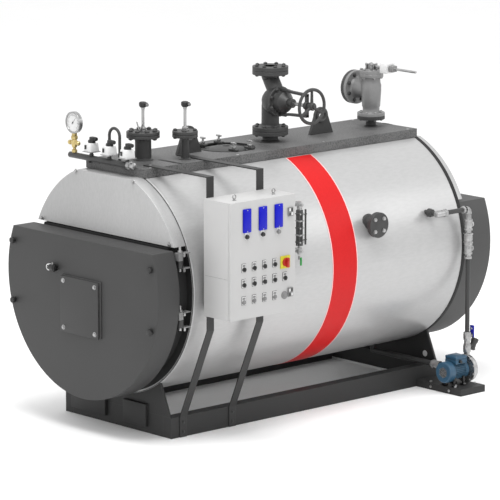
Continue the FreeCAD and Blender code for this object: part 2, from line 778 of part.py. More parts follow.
def make_header():
    pipe = rod(("HeaderLeft", "HeaderY", "HeaderHeight"), "X", "HeaderRadius", "HeaderRight - HeaderLeft")
    feet = [
        block((x, "HeaderY", "HeaderHeight - HeaderRadius - HeaderFootDepth"),
              ("HeaderFootWidth", "HeaderRadius", "HeaderRadius + HeaderFootDepth"))
        for x in ("HeaderFootWidth - DeckHalfWidth", "HeaderRight - 2 * HeaderFootWidth")
    ]
    plug = rod(("HeaderRight", "HeaderY", "HeaderHeight"), "X", "PlugRadius", "PlugLength")
    bend = ring(("SiphonX", "HeaderY + SiphonBack", "DeckTop + SiphonRise"), "Y",
                "SiphonRadius", "SiphonPipeRadius")
    low_half = block(("SiphonX - 2 * SiphonRadius", "HeaderY", "DeckTop"),
                     ("4 * SiphonRadius", "2 * SiphonBack", "SiphonRise"))
    legs = [
        rod((f"SiphonX {side} SiphonRadius", "HeaderY + SiphonBack", "DeckTop"), "Z", "SiphonPipeRadius",
            "SiphonRise")
        for side in ("-", "+")
    ]
    siphon = fuse(cut(bend, low_half), *legs)
    sub_part("gauge_header", compound(fuse(pipe, plug, *feet), siphon))
    pipe_top = "HeaderHeight + HeaderRadius"
    stem = rod(("GaugeX", "HeaderY", "HeaderHeight"), "Z", "CockStemRadius", "GaugeHeight - HeaderHeight")
    cock = rod(("GaugeX - CockHalfLength", "HeaderY", "GaugeHeight - CockDrop"), "X", "CockRadius",
               "2 * CockHalfLength")
    header_tool = rod(("HeaderLeft - Overrun", "HeaderY", "HeaderHeight"), "X", "HeaderRadius + Seat / 3",
                      "HeaderRight - HeaderLeft")
    case_tool = rod(("GaugeX", "HeaderY - LongCut / 2", "GaugeHeight"), "Y", "GaugeRadius", "LongCut")
    sub_part("gauge_cock", cut(fuse(stem, cock), header_tool, case_tool))
    sub_part("pressure_gauge", rod(("GaugeX", "HeaderY - GaugeDepth / 2", "GaugeHeight"), "Y",
                                   "GaugeRadius", "GaugeDepth"))
    switches = []
    for number in range(3):
        x = f"SwitchFirstX + {number} * SwitchPitch"
        stem = rod((x, "HeaderY", pipe_top), "Z", "SwitchStemRadius", "SwitchStem")
        case = block((f"{x} - SwitchWidth / 2", "HeaderY - SwitchDepth / 2", f"{pipe_top} + SwitchStem"),
                     ("SwitchWidth", "SwitchDepth", "SwitchHeight"))
        switches.append(fuse(stem, case))
    sub_part("pressure_switches", compound(*switches))


def make_steam_valve():
    thick = "SteamFlangeThickness"
    neck = deck_neck("0", "SteamY", "SteamPipeRadius", f"JointHeight - {thick}")
    lower = rod(("0", "SteamY", f"JointHeight - {thick}"), "Z", "SteamFlangeRadius", thick)
    sub_part("steam_nozzle", fuse(neck, lower))
    shoulder = "SteamStem - SteamShoulderDrop"
    upper = rod(("0", "SteamY", "SteamTop - SteamStubLength"), "Z", "SteamUpperRadius", "SteamUpperLength")
    body = fuse(
        rod(("0", "SteamY", "JointHeight"), "Z", "SteamFlangeRadius", thick),
        rod(("0", "SteamY", "JointHeight"), "Z", "SteamLegRadius", f"{shoulder} - JointHeight"),
        ball(("0", "SteamY", shoulder), "SteamLegRadius"),
        ball(("SteamChamberX", "SteamY", "SteamStem"), "SteamChamberRadius"),
        lean(upper, (0, 1, 0), 180 - value("SteamUpperLean")),
        rod(("0", "SteamY", "SteamTop - SteamStubLength"), "Z", "SteamLegRadius", "SteamStubLength"),
        ball(("0", "SteamY", "SteamTop - SteamStubLength"), "SteamLegRadius"),
        rod(("0", "SteamY", f"SteamTop - {thick}"), "Z", "SteamFlangeRadius", thick),
        rod(("BonnetX - BonnetFlangeThickness", "SteamY", "SteamStem"), "X", "BonnetFlangeRadius",
            "BonnetFlangeThickness"),
    )
    bore = rod(("0", "SteamY", "SteamTop - SteamBoreDepth"), "Z", "SteamBoreRadius", "2 * SteamBoreDepth")
    beyond_joint = block(("BonnetX", "SteamY - BonnetFlangeRadius", "SteamStem - BonnetFlangeRadius"),
                         ("SteamChamberRadius", "2 * BonnetFlangeRadius", "2 * BonnetFlangeRadius"))
    sub_part("steam_valve_body", cut(body, bore, beyond_joint))
    face = "BonnetX + BonnetFlangeThickness"
    barrel_end = f"{face} + BonnetLength"
    neck_end = f"{barrel_end} + BonnetTaper"
    yoke_middle = ("0", "SteamY", "SteamStem")
    outline = [
        (face, "-YokeRootHalf"),
        ("YokeEnd", "-YokeEndHalf"),
        ("YokeEnd", "YokeEndHalf"),
        (face, "YokeRootHalf"),
    ]
    window = [
        (f"{face} - Overrun", "YokeBar - YokeRootHalf"),
        ("YokeEnd - YokeBar", "YokeBar - YokeEndHalf"),
        ("YokeEnd - YokeBar", "YokeEndHalf - YokeBar"),
        (f"{face} - Overrun", "YokeRootHalf - YokeBar"),
    ]
    frame = cut(plate_body(outline, "XZ_Plane", "YokeThickness", yoke_middle),
                plate_body(window, "XZ_Plane", "2 * YokeThickness", yoke_middle))
    bonnet = fuse(
        rod(("BonnetX", "SteamY", "SteamStem"), "X", "BonnetFlangeRadius", "BonnetFlangeThickness"),
        rod((face, "SteamY", "SteamStem"), "X", "BonnetRadius", "BonnetLength"),
        cone((barrel_end, "SteamY", "SteamStem"), "X", "BonnetRadius", "BonnetNeckRadius", "BonnetTaper"),
        rod((neck_end, "SteamY", "SteamStem"), "X", "GlandRadius", "GlandLength"),
        frame,
        rod(("YokeEnd - YokeBar", "SteamY", "SteamStem"), "X", "GlandRadius", "YokeBar"),
    )
    stem_start = f"{neck_end} - BonnetTaper / 2"
    stem_tool = rod((stem_start, "SteamY", "SteamStem"), "X", "StemRadius + StemClearance", "LongCut")
    sub_part("steam_valve_yoke", cut(bonnet, stem_tool))
    hub = rod(("WheelX - WheelHubLength / 2", "SteamY", "SteamStem"), "X", "WheelHubRadius", "WheelHubLength")
    rim = ring(("WheelX", "SteamY", "SteamStem"), "X", "WheelRadius - WheelRimRadius", "WheelRimRadius")
    stem = rod((f"{stem_start} + Seat", "SteamY", "SteamStem"), "X", "StemRadius", f"WheelX - ({stem_start})")
    spokes = [
        lean(rod(("WheelX", "SteamY", "SteamStem"), "Z", "SpokeRadius", "WheelRadius - WheelRimRadius"),
             (1, 0, 0), 120 * turn)
        for turn in range(3)
    ]
    sub_part("steam_valve_handwheel", fuse(hub, rim, stem, *spokes))


def make_safety_valve():
    thick = "SafetyFlangeThickness"
    neck = deck_neck("0", "SafetyY", "SafetyPipeRadius", f"JointHeight - {thick}")
    lower = rod(("0", "SafetyY", f"JointHeight - {thick}"), "Z", "SafetyInletFlangeRadius", thick)
    sub_part("safety_nozzle", fuse(neck, lower))
    outlet = ("-SafetyOutletReach", "SafetyY", "SafetyOutlet")
    body = fuse(
        rod(("0", "SafetyY", "JointHeight"), "Z", "SafetyInletFlangeRadius", thick),
        rod(("0", "SafetyY", "JointHeight"), "Z", "SafetyLowRadius", "SafetyOutletRise"),
        ball(("0", "SafetyY", "SafetyOutlet"), "SafetyMidRadius"),
        rod(("0", "SafetyY", "SafetyOutlet"), "Z", "SafetyBarrelRadius", "SafetyHeight - SafetyOutletRise"),
        rod(outlet, "X", "SafetyOutletNeck", "SafetyOutletReach"),
        rod(outlet, "X", "SafetyOutletFlangeRadius", thick),
        rod(("0", "SafetyY", f"SafetyTop - {thick}"), "Z", "SafetyCapRadius", thick),
        rod(("0", "SafetyY", "SafetyTop"), "Z", "SafetyCapRadius", thick),
    )
    fork_low = f"SafetyTop + {thick}"
    cheeks = [
        block(("-ForkWidth / 2", y, fork_low), ("ForkWidth", "ForkThickness", f"ForkHeight - {thick}"))
        for y in ("SafetyY - LeverThickness / 2 - Seat - ForkThickness",
                  "SafetyY + LeverThickness / 2 + Seat")
    ]
    bore = rod(("-SafetyOutletReach - Overrun", "SafetyY", "SafetyOutlet"), "X", "SafetyBoreRadius",
               "SafetyOutletReach")
    sub_part("safety_valve_body", cut(fuse(body, *cheeks), bore))
    arm = "SafetyTop + LeverRise"
    lever = fuse(
        block(("-LeverTail", "SafetyY - LeverThickness / 2", arm),
              ("LeverLength", "LeverThickness", "LeverDepth")),
        block(("WeightX", "SafetyY - WeightWidth / 2", f"{arm} + LeverDepth / 2 - WeightHeight / 2"),
              ("WeightLength", "WeightWidth", "WeightHeight")),
    )
    sub_part("safety_valve_lever", lever)


def make_companion_flanges():
    """Weld-on flanges bolted to the two outlets, bored for the pipes that leave them."""
    steam = rod(("0", "SteamY", "SteamTop"), "Z", "SteamFlangeRadius", "CompanionThickness")
    steam_bore = rod(("0", "SteamY", "SteamTop - Overrun"), "Z", "SteamBoreRadius",
                     "CompanionThickness + 2 * Overrun")
    safety_x = "-SafetyOutletReach - CompanionThickness"
    safety = rod((safety_x, "SafetyY", "SafetyOutlet"), "X", "SafetyOutletFlangeRadius", "CompanionThickness")
    safety_bore = rod((f"{safety_x} - Overrun", "SafetyY", "SafetyOutlet"), "X", "SafetyBoreRadius",
                      "CompanionThickness + 2 * Overrun")
    sub_part("outlet_companion_flanges", compound(cut(steam, steam_bore), cut(safety, safety_bore)))


def make_cabinet():
    wall = "CabinetWall"
    outer = block(("CabinetRear", "CabinetFrontY", "CabinetLow"),
                  ("CabinetDepth", "CabinetWidth", "CabinetHeight"))
    inner = block((f"CabinetRear + {wall}", f"CabinetFrontY + {wall}", f"CabinetLow + {wall}"),
                  ("CabinetDepth", f"CabinetWidth - 2 * {wall}", f"CabinetHeight - 2 * {wall}"))
    sub_part("cabinet_box", cut(outer, inner))
    sub_part("cabinet_door", block(("CabinetDoorX", "CabinetFrontY", "CabinetLow"),
                                   ("CabinetDoorThickness", "CabinetWidth", "CabinetHeight")))
    displays = [
        block(("CabinetFace", f"CabinetFrontY + DisplayInset + {n} * DisplayPitch - DisplayWidth / 2",
               "CabinetLow + DisplayRise - DisplayHeight / 2"),
              ("DisplayThickness", "DisplayWidth", "DisplayHeight"))
        for n in range(3)
    ]
    sub_part("cabinet_displays", compound(*displays))

    def button(along, rise):
        return rod(("CabinetFace", f"CabinetFrontY + {along}", f"CabinetLow + {rise}"), "X",
                   "ButtonRadius", "ButtonLength")

    rows = (("RowOneRise", 4), ("RowTwoRise", 5), ("RowThreeRise", 5))
    buttons = [
        button(f"ControlInset + {column} * ControlPitch", rise)
        for rise, count in rows
        for column in range(count)
    ]
    knobs = [button(f"DisplayInset + {n} * DisplayPitch", "KnobRowRise") for n in range(3)]
    plate = block(("CabinetFace", "MainSwitchY - MainSwitchSize / 2",
                   "MainSwitchHeight - MainSwitchSize / 2"),
                  ("MainSwitchPlate", "MainSwitchSize", "MainSwitchSize"))
    sub_part("cabinet_buttons", compound(*buttons, *knobs, plate))
    front = "CabinetFace + MainSwitchPlate + Seat"
    turn = fuse(
        rod((front, "MainSwitchY", "MainSwitchHeight"), "X", "MainSwitchHubRadius", "MainSwitchHubLength"),
        block((front, "MainSwitchY - MainSwitchGripWidth / 2", "MainSwitchHeight - MainSwitchGripLength / 2"),
              ("MainSwitchGripDepth", "MainSwitchGripWidth", "MainSwitchGripLength")),
    )
    sub_part("main_switch_handle", turn)


def make_strap(label, middle, inner):
    thick = "StrapThickness"
    edge = "SkidWidth / 2"
    outline = [
        (inner, "DeckTop"),
        (f"CabinetRear - {thick}", "DeckTop"),
        (f"CabinetRear - {thick}", "StrapBend"),
        (edge, "BeamHeight"),
        (edge, "0"),
        (f"{edge} + {thick}", "0"),
        (f"{edge} + {thick}", "BeamHeight - StrapBendLap"),
        ("CabinetRear", "StrapBend - StrapBendLap"),
        ("CabinetRear", f"DeckTop + {thick}"),
        (inner, f"DeckTop + {thick}"),
    ]
    sub_part(label, plate_body(outline, "XZ_Plane", "StrapWidth", ("0", middle, "0")))


def make_level_gauge():
    cocks = []
    for height in ("GlassTop", "GlassLow"):
        arm = rod(("0", "GlassY", height), "X", "GlassPipeRadius", "GlassX")
        head = block(("GlassX - GlassCockSize / 2", "GlassY - GlassCockSize / 2",
                      f"{height} - GlassCockHalf"),
                     ("GlassCockSize", "GlassCockSize", "2 * GlassCockHalf"))
        cocks.append(cut(fuse(arm, head), drum_space()))
    sub_part("level_gauge_cocks", compound(*cocks))
    low = "GlassLow + GlassCockHalf"
    high = "GlassTop - GlassCockHalf"
    body_low = "GlassLow + GlassBodyMargin"
    body_length = "GlassTop - GlassLow - 2 * GlassBodyMargin"
    half = "GlassBodyWidth / 2"
    tube = rod(("GlassX", "GlassY", low), "Z", "GlassTubeRadius", f"{high} - ({low})")
    case = block((f"GlassX - {half}", f"GlassY - {half}", body_low),
                 ("GlassBodyWidth", "GlassBodyWidth", body_length))
    bar = block((f"GlassX - GlassBarSize / 2", "GlassY + GlassBarOffset - GlassBarSize / 2", body_low),
                ("GlassBarSize", "GlassBarSize", body_length))
    links = [
        block(("GlassX - GlassBarSize / 2", "GlassY", height),
              ("GlassBarSize", "GlassBarOffset", "GlassBarSize"))
        for height in (f"{body_low} + GlassBodyMargin", f"{body_low} + {body_length} - GlassBodyMargin")
    ]
    sub_part("level_gauge_body", fuse(tube, case, bar, *links))


def make_side_flange():
    thick = "SideFlangeThickness"
    neck = rod(("0", "SideFlangeY", "SideFlangeHeight"), "X", "SideNeckRadius", "SideFlangeX")
    flanges = rod(("SideFlangeX", "SideFlangeY", "SideFlangeHeight"), "X", "SideFlangeRadius", f"2 * {thick}")
    sub_part("side_inspection_flange", cut(fuse(neck, flanges), drum_space()))


def make_feed_line():
    reach = "RiserY - FeedNozzleY - FeedPipeRadius"
    nozzle = rod(("0", "FeedNozzleY", "FeedHeight"), "X", "FeedPipeRadius", "FeedX")
    socket = rod(("FeedX - FeedSocketInset", "FeedNozzleY", "FeedHeight"), "X", "FeedSocketRadius",
                 "FeedSocketLength")
    across = rod(("FeedX", "FeedNozzleY", "FeedHeight"), "Y", "FeedPipeRadius", reach)
    tee = rod(("FeedX", "FeedNozzleY - FeedTeeLead", "FeedHeight"), "Y", "FeedTeeRadius", "FeedTeeLength")
    riser = rod(("FeedX", "RiserY", "RiserLow"), "Z", "FeedPipeRadius", "RiserHigh - RiserLow")
    sub_part("feed_pipes", compound(cut(fuse(nozzle, socket, across, tee), drum_space()), riser))

    def fitting(drop, radius, length):
        return rod(("FeedX", "RiserY", f"FeedHeight - {drop}"), "Z", radius, length)

    def neck(drop):
        return rod(("FeedX", "RiserY", f"FeedHeight - {drop} + ValveLength / 2"), "Y", "ValveNeckRadius",
                   "ValveNeckLength")

    across_tool = rod(("FeedX", "FeedNozzleY", "FeedHeight"), "Y", "FeedPipeRadius + Seat / 3",
                      f"{reach} + Seat")
    checks = fuse(
        ball(("FeedX", "RiserY", "FeedHeight"), "FeedSocketRadius"),
        fitting("CheckLength", "FeedBodyRadius", "CheckLength"),
        fitting("UnionDrop", "FeedFittingRadius", "UnionLength"),
        fitting("UpperValveDrop", "FeedSocketRadius", "ValveLength"),
        fitting("LowerValveDrop", "FeedSocketRadius", "ValveLength"),
        neck("UpperValveDrop"),
        neck("LowerValveDrop"),
    )
    sub_part("feed_check_valves", cut(checks, across_tool))
    lower = fuse(
        rod(("FeedX", "RiserY", "PumpAxisHeight"), "Z", "BallPipeRadius", "RiserLow - PumpAxisHeight"),
        rod(("FeedX", "RiserY", "BallValveHeight - BallValveRadius"), "Z", "BallValveRadius",
            "2 * BallValveRadius"),
        rod(("FeedX", "RiserY", "BallValveHeight - BallBodyDrop"), "Z", "BallValveRadius", "BallBodyLength"),
        rod(("FeedX", "RiserY", "BallValveHeight"), "Y", "BallStemRadius", "BallValveStem"),
    )
    casing_tools = [
        rod(("FeedX", "MotorFront", "PumpAxisHeight"), "Y", "CasingRadius + Seat / 3", "LongCut"),
        rod(("FeedX", "MotorFront", "PumpAxisHeight"), "Y", "CasingRadius + CasingRim + Seat / 3",
            "MotorLength + CasingRimDepth + Seat"),
    ]
    sub_part("feed_ball_valve", cut(lower, *casing_tools))
    grip_low = "BallValveHeight - LeverGripTail"
    grip = block(("FeedX - LeverGripWidth / 2", "RiserY + BallValveStem + Seat", grip_low),
                 ("LeverGripWidth", "LeverGripThickness", "LeverGripLength"))
    sub_part("feed_valve_lever", grip)
    strainer_spot = ("FeedX", "RiserY + StrainerOffset", "BallValveHeight - StrainerDrop")
    basket = lean(rod(strainer_spot, "Z", "StrainerRadius", "StrainerLength"), (1, 0, 0),
                  -value("StrainerLean"))
    branch = rod(("FeedX", "RiserY", "BallValveHeight - StrainerNeckDrop"), "Y", "ValveNeckRadius",
                 "StrainerOffset")
    body_tool = rod(("FeedX", "RiserY", "PumpAxisHeight"), "Z", "BallValveRadius + Seat / 3",
                    "BallValveHeight")
    sub_part("feed_strainer", cut(fuse(basket, branch), body_tool))


def make_pump():
    low = "MotorFront + PlatformSetBack"
    reach = "FeedX + PlatformOverhang - SkidWidth / 2"
    sub_part("pump_platform", block(("SkidWidth / 2", low, "0"), (reach, "PlatformLength", "PlatformHeight")))
    axis = "PumpAxisHeight"
    motor = fuse(
        rod(("FeedX", "MotorFront", axis), "Y", "MotorRadius", "MotorLength"),
        rod(("FeedX", "MotorFront", axis), "Y", "FanCoverRadius", "FanCoverLength"),
        block(("FeedX - MotorFootWidth / 2", "MotorFront + MotorFootInset", "PlatformHeight"),
              ("MotorFootWidth", "MotorFootLength", f"{axis} - PlatformHeight - MotorRadius / 2")),
        block(("FeedX - TerminalWidth / 2", "MotorFront + TerminalInset",
               f"{axis} + MotorRadius - TerminalSink"),
              ("TerminalWidth", "TerminalLength", "TerminalHeight")),
    )
    sub_part("pump_motor", motor)
    casing = rod(("FeedX", "MotorEnd", axis), "Y", "CasingRadius", "CasingDepth")
    rim = rod(("FeedX", "MotorEnd", axis), "Y", "CasingRadius + CasingRim", "CasingRimDepth")
    sub_part("pump_casing", fuse(casing, rim))


def make_drain():
    run = rod(("DrainX", "DrainY", "DrainHeight"), "X", "DrainPipeRadius", "DrainEnd - DrainX")
    corner = ball(("DrainX", "DrainY", "DrainHeight"), "DrainPipeRadius")
    drop = rod(("DrainX", "DrainY", "DrainHeight"), "Z", "DrainPipeRadius", "DrumClearance")
    collar = rod(("DrainEnd - DrainCollarLength", "DrainY", "DrainHeight"), "X", "DrainCollarRadius",
                 "DrainCollarLength")
    sub_part("drain_pipe", cut(fuse(run, corner, drop, collar), drum_space()))


make_skid()
make_saddle("saddle_front", "FrontEnd + SaddleThickness / 2")
make_saddle("saddle_rear", "RearEnd - SaddleThickness / 2")
make_drum()
make_end_panels()
make_door()
make_hinges()
make_deck()
make_manway()
make_lugs()
make_tower("one", "0", "TowerOneY", "TowerOneNeckRadius", "TowerOneFlangeRadius")
make_tower("two", "TowerTwoX", "TowerTwoY", "TowerTwoNeckRadius", "TowerTwoFlangeRadius")
make_header()
make_steam_valve()
make_safety_valve()
make_companion_flanges()
make_cabinet()
make_strap("cabinet_strap_front", "StrapOneY", "StrapOneInner")
make_strap("cabinet_strap_rear", "StrapTwoY", "StrapTwoInner")
make_level_gauge()
make_side_flange()
make_feed_line()
make_pump()
make_drain()

doc.recompute()

for thing in doc.Objects:
    if "Invalid" in thing.State or "Error" in thing.State:
        raise RuntimeError(f"{thing.Label}: {thing.State}")
for thing in SUB_PARTS:
    if thing.Shape.isNull() or not thing.Shape.isValid() or not thing.Shape.Solids:
        raise RuntimeError(f"{thing.Label} has no sound solid")

os.makedirs("parts", exist_ok=True)
for thing in SUB_PARTS:
    thing.Shape.exportStep(f"parts/{thing.Label}.step")
print(len(SUB_PARTS), "sub-parts written")
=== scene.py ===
import bpy
import json
import math
from mathutils import Matrix, Vector


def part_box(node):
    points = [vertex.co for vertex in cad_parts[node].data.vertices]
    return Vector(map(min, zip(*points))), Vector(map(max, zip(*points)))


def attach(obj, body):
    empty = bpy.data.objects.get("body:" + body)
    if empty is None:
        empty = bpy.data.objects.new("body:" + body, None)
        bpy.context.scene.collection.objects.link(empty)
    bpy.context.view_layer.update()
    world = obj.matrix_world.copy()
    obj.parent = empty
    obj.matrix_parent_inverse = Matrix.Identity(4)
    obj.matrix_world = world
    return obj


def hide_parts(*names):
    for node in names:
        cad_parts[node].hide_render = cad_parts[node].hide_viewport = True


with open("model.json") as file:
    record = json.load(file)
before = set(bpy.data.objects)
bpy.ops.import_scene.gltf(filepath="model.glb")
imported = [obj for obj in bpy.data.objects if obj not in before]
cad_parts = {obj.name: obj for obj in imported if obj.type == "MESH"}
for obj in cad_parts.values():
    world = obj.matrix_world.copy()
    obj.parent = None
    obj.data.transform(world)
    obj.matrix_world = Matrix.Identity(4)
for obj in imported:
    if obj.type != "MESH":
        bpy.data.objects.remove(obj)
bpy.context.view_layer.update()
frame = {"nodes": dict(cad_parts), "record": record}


class Wire:
    # a shader socket that takes part in arithmetic
    def __init__(self, tree, socket):
        self.tree = tree
        self.socket = socket

    def make(self, kind, settings, values, out=0):
        node = self.tree.nodes.new("ShaderNode" + kind)
        for name, setting in settings.items():
            setattr(node, name, setting)
        for key, value in values.items():
            if isinstance(value, Wire):
                self.tree.links.new(value.socket, node.inputs[key])
            else:
                node.inputs[key].default_value = value
        return Wire(self.tree, node.outputs[out])

    def maths(self, operation, first, second):
        return self.make("Math", {"operation": operation}, {0: first, 1: second})

    def __add__(self, other):
        return self.maths("ADD", self, other)

    def __radd__(self, other):
        return self.maths("ADD", other, self)

    def __sub__(self, other):
        return self.maths("SUBTRACT", self, other)

    def __rsub__(self, other):
        return self.maths("SUBTRACT", other, self)

    def __mul__(self, other):
        return self.maths("MULTIPLY", self, other)

    def __rmul__(self, other):
        return self.maths("MULTIPLY", other, self)

    def span(self, low, high, newLow=0.0, newHigh=1.0):
        values = {0: self, 1: low, 2: high, 3: newLow, 4: newHigh}
        return self.make("MapRange", {"clamp": True}, values)


def shade(level, warm=0.0):
    # neutral colour from a display level, pushed a little to warm or cool
    linear = (level / 255) ** 2.2 * 0.80
    return (linear * (1 + warm), linear, linear * (1 - warm), 1)


def finish(name, look):
    # paint or bare metal: blotches, fine specks, worn edges, roughness and bump
    material = bpy.data.materials.new(name)
    material.use_nodes = True
    tree = material.node_tree
    shader = tree.nodes["Principled BSDF"]
    where = Wire(tree, tree.nodes.new("ShaderNodeTexCoord").outputs["Object"])
    stretch = where.make("Mapping", {}, {"Vector": where, "Scale": look.get("stretch", (1, 1, 1))})
    blotch = where.make("TexNoise", {}, {"Vector": stretch, "Scale": look.get("blotch", 3.0), "Detail": 5})
    speck = where.make("TexNoise", {}, {"Vector": stretch, "Scale": look.get("grain", 400.0), "Detail": 2})
    soft = where.make("Bevel", {"samples": 4}, {"Radius": look.get("round", 0.003)})
    plain = where.make("NewGeometry", {}, {}, "Normal")
    match = where.make("VectorMath", {"operation": "DOT_PRODUCT"}, {0: soft, 1: plain}, "Value")
    worn = (1 - match).span(0.01, 0.16) * blotch.span(0.4, 0.62, 0.35, 1.0)
    mixed = blotch.span(0.35, 0.68) * 0.6 + speck.span(0.35, 0.65) * look.get("speckle", 0.4)
    base = where.make("Mix", {"data_type": "RGBA"}, {0: mixed, 6: look["dark"], 7: look["light"]}, 2)
    edge = look.get("edge", look["light"])
    factor = worn * look.get("wear", 0.5)
    colour = where.make("Mix", {"data_type": "RGBA"}, {0: factor, 6: base, 7: edge}, 2)
    low, high = look.get("rough", (0.4, 0.55))
    rough = blotch.span(0.3, 0.7, low, high) + (speck - 0.5) * look.get("roughSpeckle", 0.06)
    bump = where.make("Bump", {}, {"Strength": look.get("bump", 0.15), "Distance": 0.001,
                                   "Height": speck, "Normal": soft})
    tree.links.new(colour.socket, shader.inputs["Base Color"])
    tree.links.new(rough.socket, shader.inputs["Roughness"])
    tree.links.new(bump.socket, shader.inputs["Normal"])
    shader.inputs["Metallic"].default_value = look.get("metal", 0.0)
    shader.inputs["Specular IOR Level"].default_value = look.get("gloss", 0.5)
    shader.inputs["Coat Weight"].default_value = look.get("coat", 0.0)
    return material


cladding = finish("claddingSheet", {"dark": shade(190), "light": shade(202), "blotch": 1.1, "grain": 90,
                  "stretch": (1, 0.25, 1), "rough": (0.28, 0.38), "metal": 0.35, "bump": 0.02,
                  "edge": shade(150), "wear": 0.3})
endSheet = finish("endSheet", {"dark": shade(180), "light": shade(196), "blotch": 1.6, "grain": 150,
                  "stretch": (1, 1, 0.3), "rough": (0.3, 0.42), "metal": 0.35, "bump": 0.02, "wear": 0.4})
doorPaint = finish("doorPaint", {"dark": shade(62), "light": shade(72), "blotch": 2.0, "grain": 600,
                   "rough": (0.5, 0.62), "bump": 0.25, "edge": shade(96), "wear": 0.5, "round": 0.004,
                   "gloss": 0.35})
boxPaint = finish("boxPaint", {"dark": shade(66), "light": shade(76), "blotch": 2.0, "grain": 600,
                  "rough": (0.5, 0.62), "bump": 0.2, "edge": shade(112), "wear": 0.5})
deckPaint = finish("deckPaint", {"dark": shade(58), "light": shade(108), "blotch": 5.0, "grain": 120,
                   "speckle": 0.9, "rough": (0.5, 0.7), "bump": 0.6, "edge": shade(120), "wear": 0.4})
framePaint = finish("framePaint", {"dark": shade(48), "light": shade(58), "blotch": 2.5, "grain": 500,
                    "rough": (0.5, 0.65), "bump": 0.2, "edge": shade(88), "wear": 0.6, "gloss": 0.35})
darkSteel = finish("darkSteel", {"dark": shade(50), "light": shade(66), "blotch": 6.0, "grain": 500,
                   "rough": (0.38, 0.55), "bump": 0.3, "edge": shade(110), "wear": 0.7, "round": 0.002})
# near-black painted shade: stands in for the shade inside recesses, gaps, slots and openings
paintedShadeBlack = finish("paintedShadeBlack", {"dark": shade(28), "light": shade(38), "blotch": 5.0, "grain": 300,
                     "rough": (0.6, 0.8), "bump": 0.2})
castIron = finish("castIron", {"dark": shade(50), "light": shade(68), "blotch": 9.0, "grain": 380,
                  "rough": (0.42, 0.6), "bump": 0.55, "edge": shade(112), "wear": 0.6, "round": 0.003})
greyIron = finish("greyIron", {"dark": shade(128), "light": shade(146), "blotch": 8.0, "grain": 300,
                  "rough": (0.38, 0.5), "metal": 0.2, "bump": 0.35, "edge": shade(180), "wear": 0.5})
strapPaint = finish("strapPaint", {"dark": shade(50), "light": shade(60), "blotch": 4.0, "grain": 500,
                    "rough": (0.45, 0.55), "bump": 0.15, "edge": shade(90), "wear": 0.6, "gloss": 0.35})
# drip tray set near white as painted light: makes up for the shade it gets under the drum
traySheetPaintedLight = finish("traySheetPaintedLight", {"dark": shade(240), "light": shade(252), "blotch": 3.0, "grain": 220,
                   "rough": (0.5, 0.65), "bump": 0.2})
zinc = finish("zinc", {"dark": shade(150), "light": shade(205), "blotch": 30.0, "grain": 900,
              "rough": (0.24, 0.38), "metal": 0.85, "bump": 0.1, "round": 0.001})
stainless = finish("stainless", {"dark": shade(170), "light": shade(205), "blotch": 12.0, "grain": 500,
                   "stretch": (1, 6, 1), "rough": (0.22, 0.34), "metal": 0.9, "bump": 0.06})
cabinetPaint = finish("cabinetPaint", {"dark": shade(190, 0.004), "light": shade(198, 0.004), "blotch": 2.0,
                      "grain": 700, "rough": (0.4, 0.5), "bump": 0.12, "edge": shade(240), "wear": 0.4})
blackPlastic = finish("blackPlastic", {"dark": shade(26), "light": shade(40), "blotch": 20.0, "grain": 900,
                      "rough": (0.35, 0.5), "bump": 0.1, "edge": shade(80), "wear": 0.6, "round": 0.001})
greyPlastic = finish("greyPlastic", {"dark": shade(120), "light": shade(140), "blotch": 20.0, "grain": 900,
                     "rough": (0.35, 0.5), "bump": 0.1, "round": 0.001})
whitePlastic = finish("whitePlastic", {"dark": shade(226), "light": shade(240), "blotch": 12.0, "grain": 900,
                      "rough": (0.35, 0.45), "bump": 0.06, "edge": shade(210), "wear": 0.4, "round": 0.001})
displayBlue = finish("displayBlue",
                     {"dark": (0.0, 0.001, 0.36, 1), "light": (0.0, 0.003, 0.46, 1), "blotch": 9.0,
                     "grain": 700, "rough": (0.3, 0.4), "bump": 0.04, "round": 0.001, "gloss": 0.25})
bandRed = finish("bandRed", {"dark": (0.50, 0.004, 0.005, 1), "light": (0.57, 0.008, 0.009, 1), "blotch": 1.5,
                 "grain": 90, "rough": (0.42, 0.52), "bump": 0.02, "gloss": 0.22})
bandPale = finish("bandPale", {"dark": (0.84, 0.5, 0.5, 1), "light": (0.87, 0.57, 0.57, 1), "blotch": 2.0,
                  "grain": 90, "rough": (0.3, 0.4), "bump": 0.02})
switchYellow = finish("switchYellow",
                      {"dark": (0.46, 0.42, 0.01, 1), "light": (0.56, 0.52, 0.02, 1), "blotch": 20.0,
                      "grain": 700, "rough": (0.3, 0.4), "bump": 0.05, "round": 0.001})
switchRed = finish("switchRed",
                   {"dark": (0.34, 0.01, 0.008, 1), "light": (0.44, 0.02, 0.012, 1), "blotch": 20.0,
                   "grain": 700, "rough": (0.25, 0.35), "bump": 0.05, "round": 0.001})
leverBlue = finish("leverBlue", {"dark": (0.006, 0.008, 0.25, 1), "light": (0.012, 0.02, 0.42, 1),
                   "blotch": 15.0, "grain": 700, "rough": (0.3, 0.4), "bump": 0.08, "round": 0.001})
pumpBlue = finish("pumpBlue",
                  {"dark": (0.018, 0.062, 0.112, 1), "light": (0.030, 0.092, 0.155, 1), "blotch": 9.0,
                  "grain": 500, "rough": (0.35, 0.5), "bump": 0.25, "edge": (0.1, 0.22, 0.32, 1),
                  "wear": 0.6})
gripGreen = finish("gripGreen", {"dark": (0.005, 0.2, 0.03, 1), "light": (0.01, 0.3, 0.05, 1), "blotch": 15.0,
                   "grain": 700, "rough": (0.35, 0.45), "bump": 0.1})
brass = finish("brass", {"dark": (0.42, 0.32, 0.12, 1), "light": (0.66, 0.54, 0.26, 1), "blotch": 25.0,
               "grain": 600, "rough": (0.25, 0.38), "metal": 0.7, "bump": 0.15, "round": 0.001})
dialWhite = finish("dialWhite", {"dark": shade(228), "light": shade(240), "blotch": 12.0, "grain": 900,
                   "rough": (0.3, 0.4), "bump": 0.02, "round": 0.001})

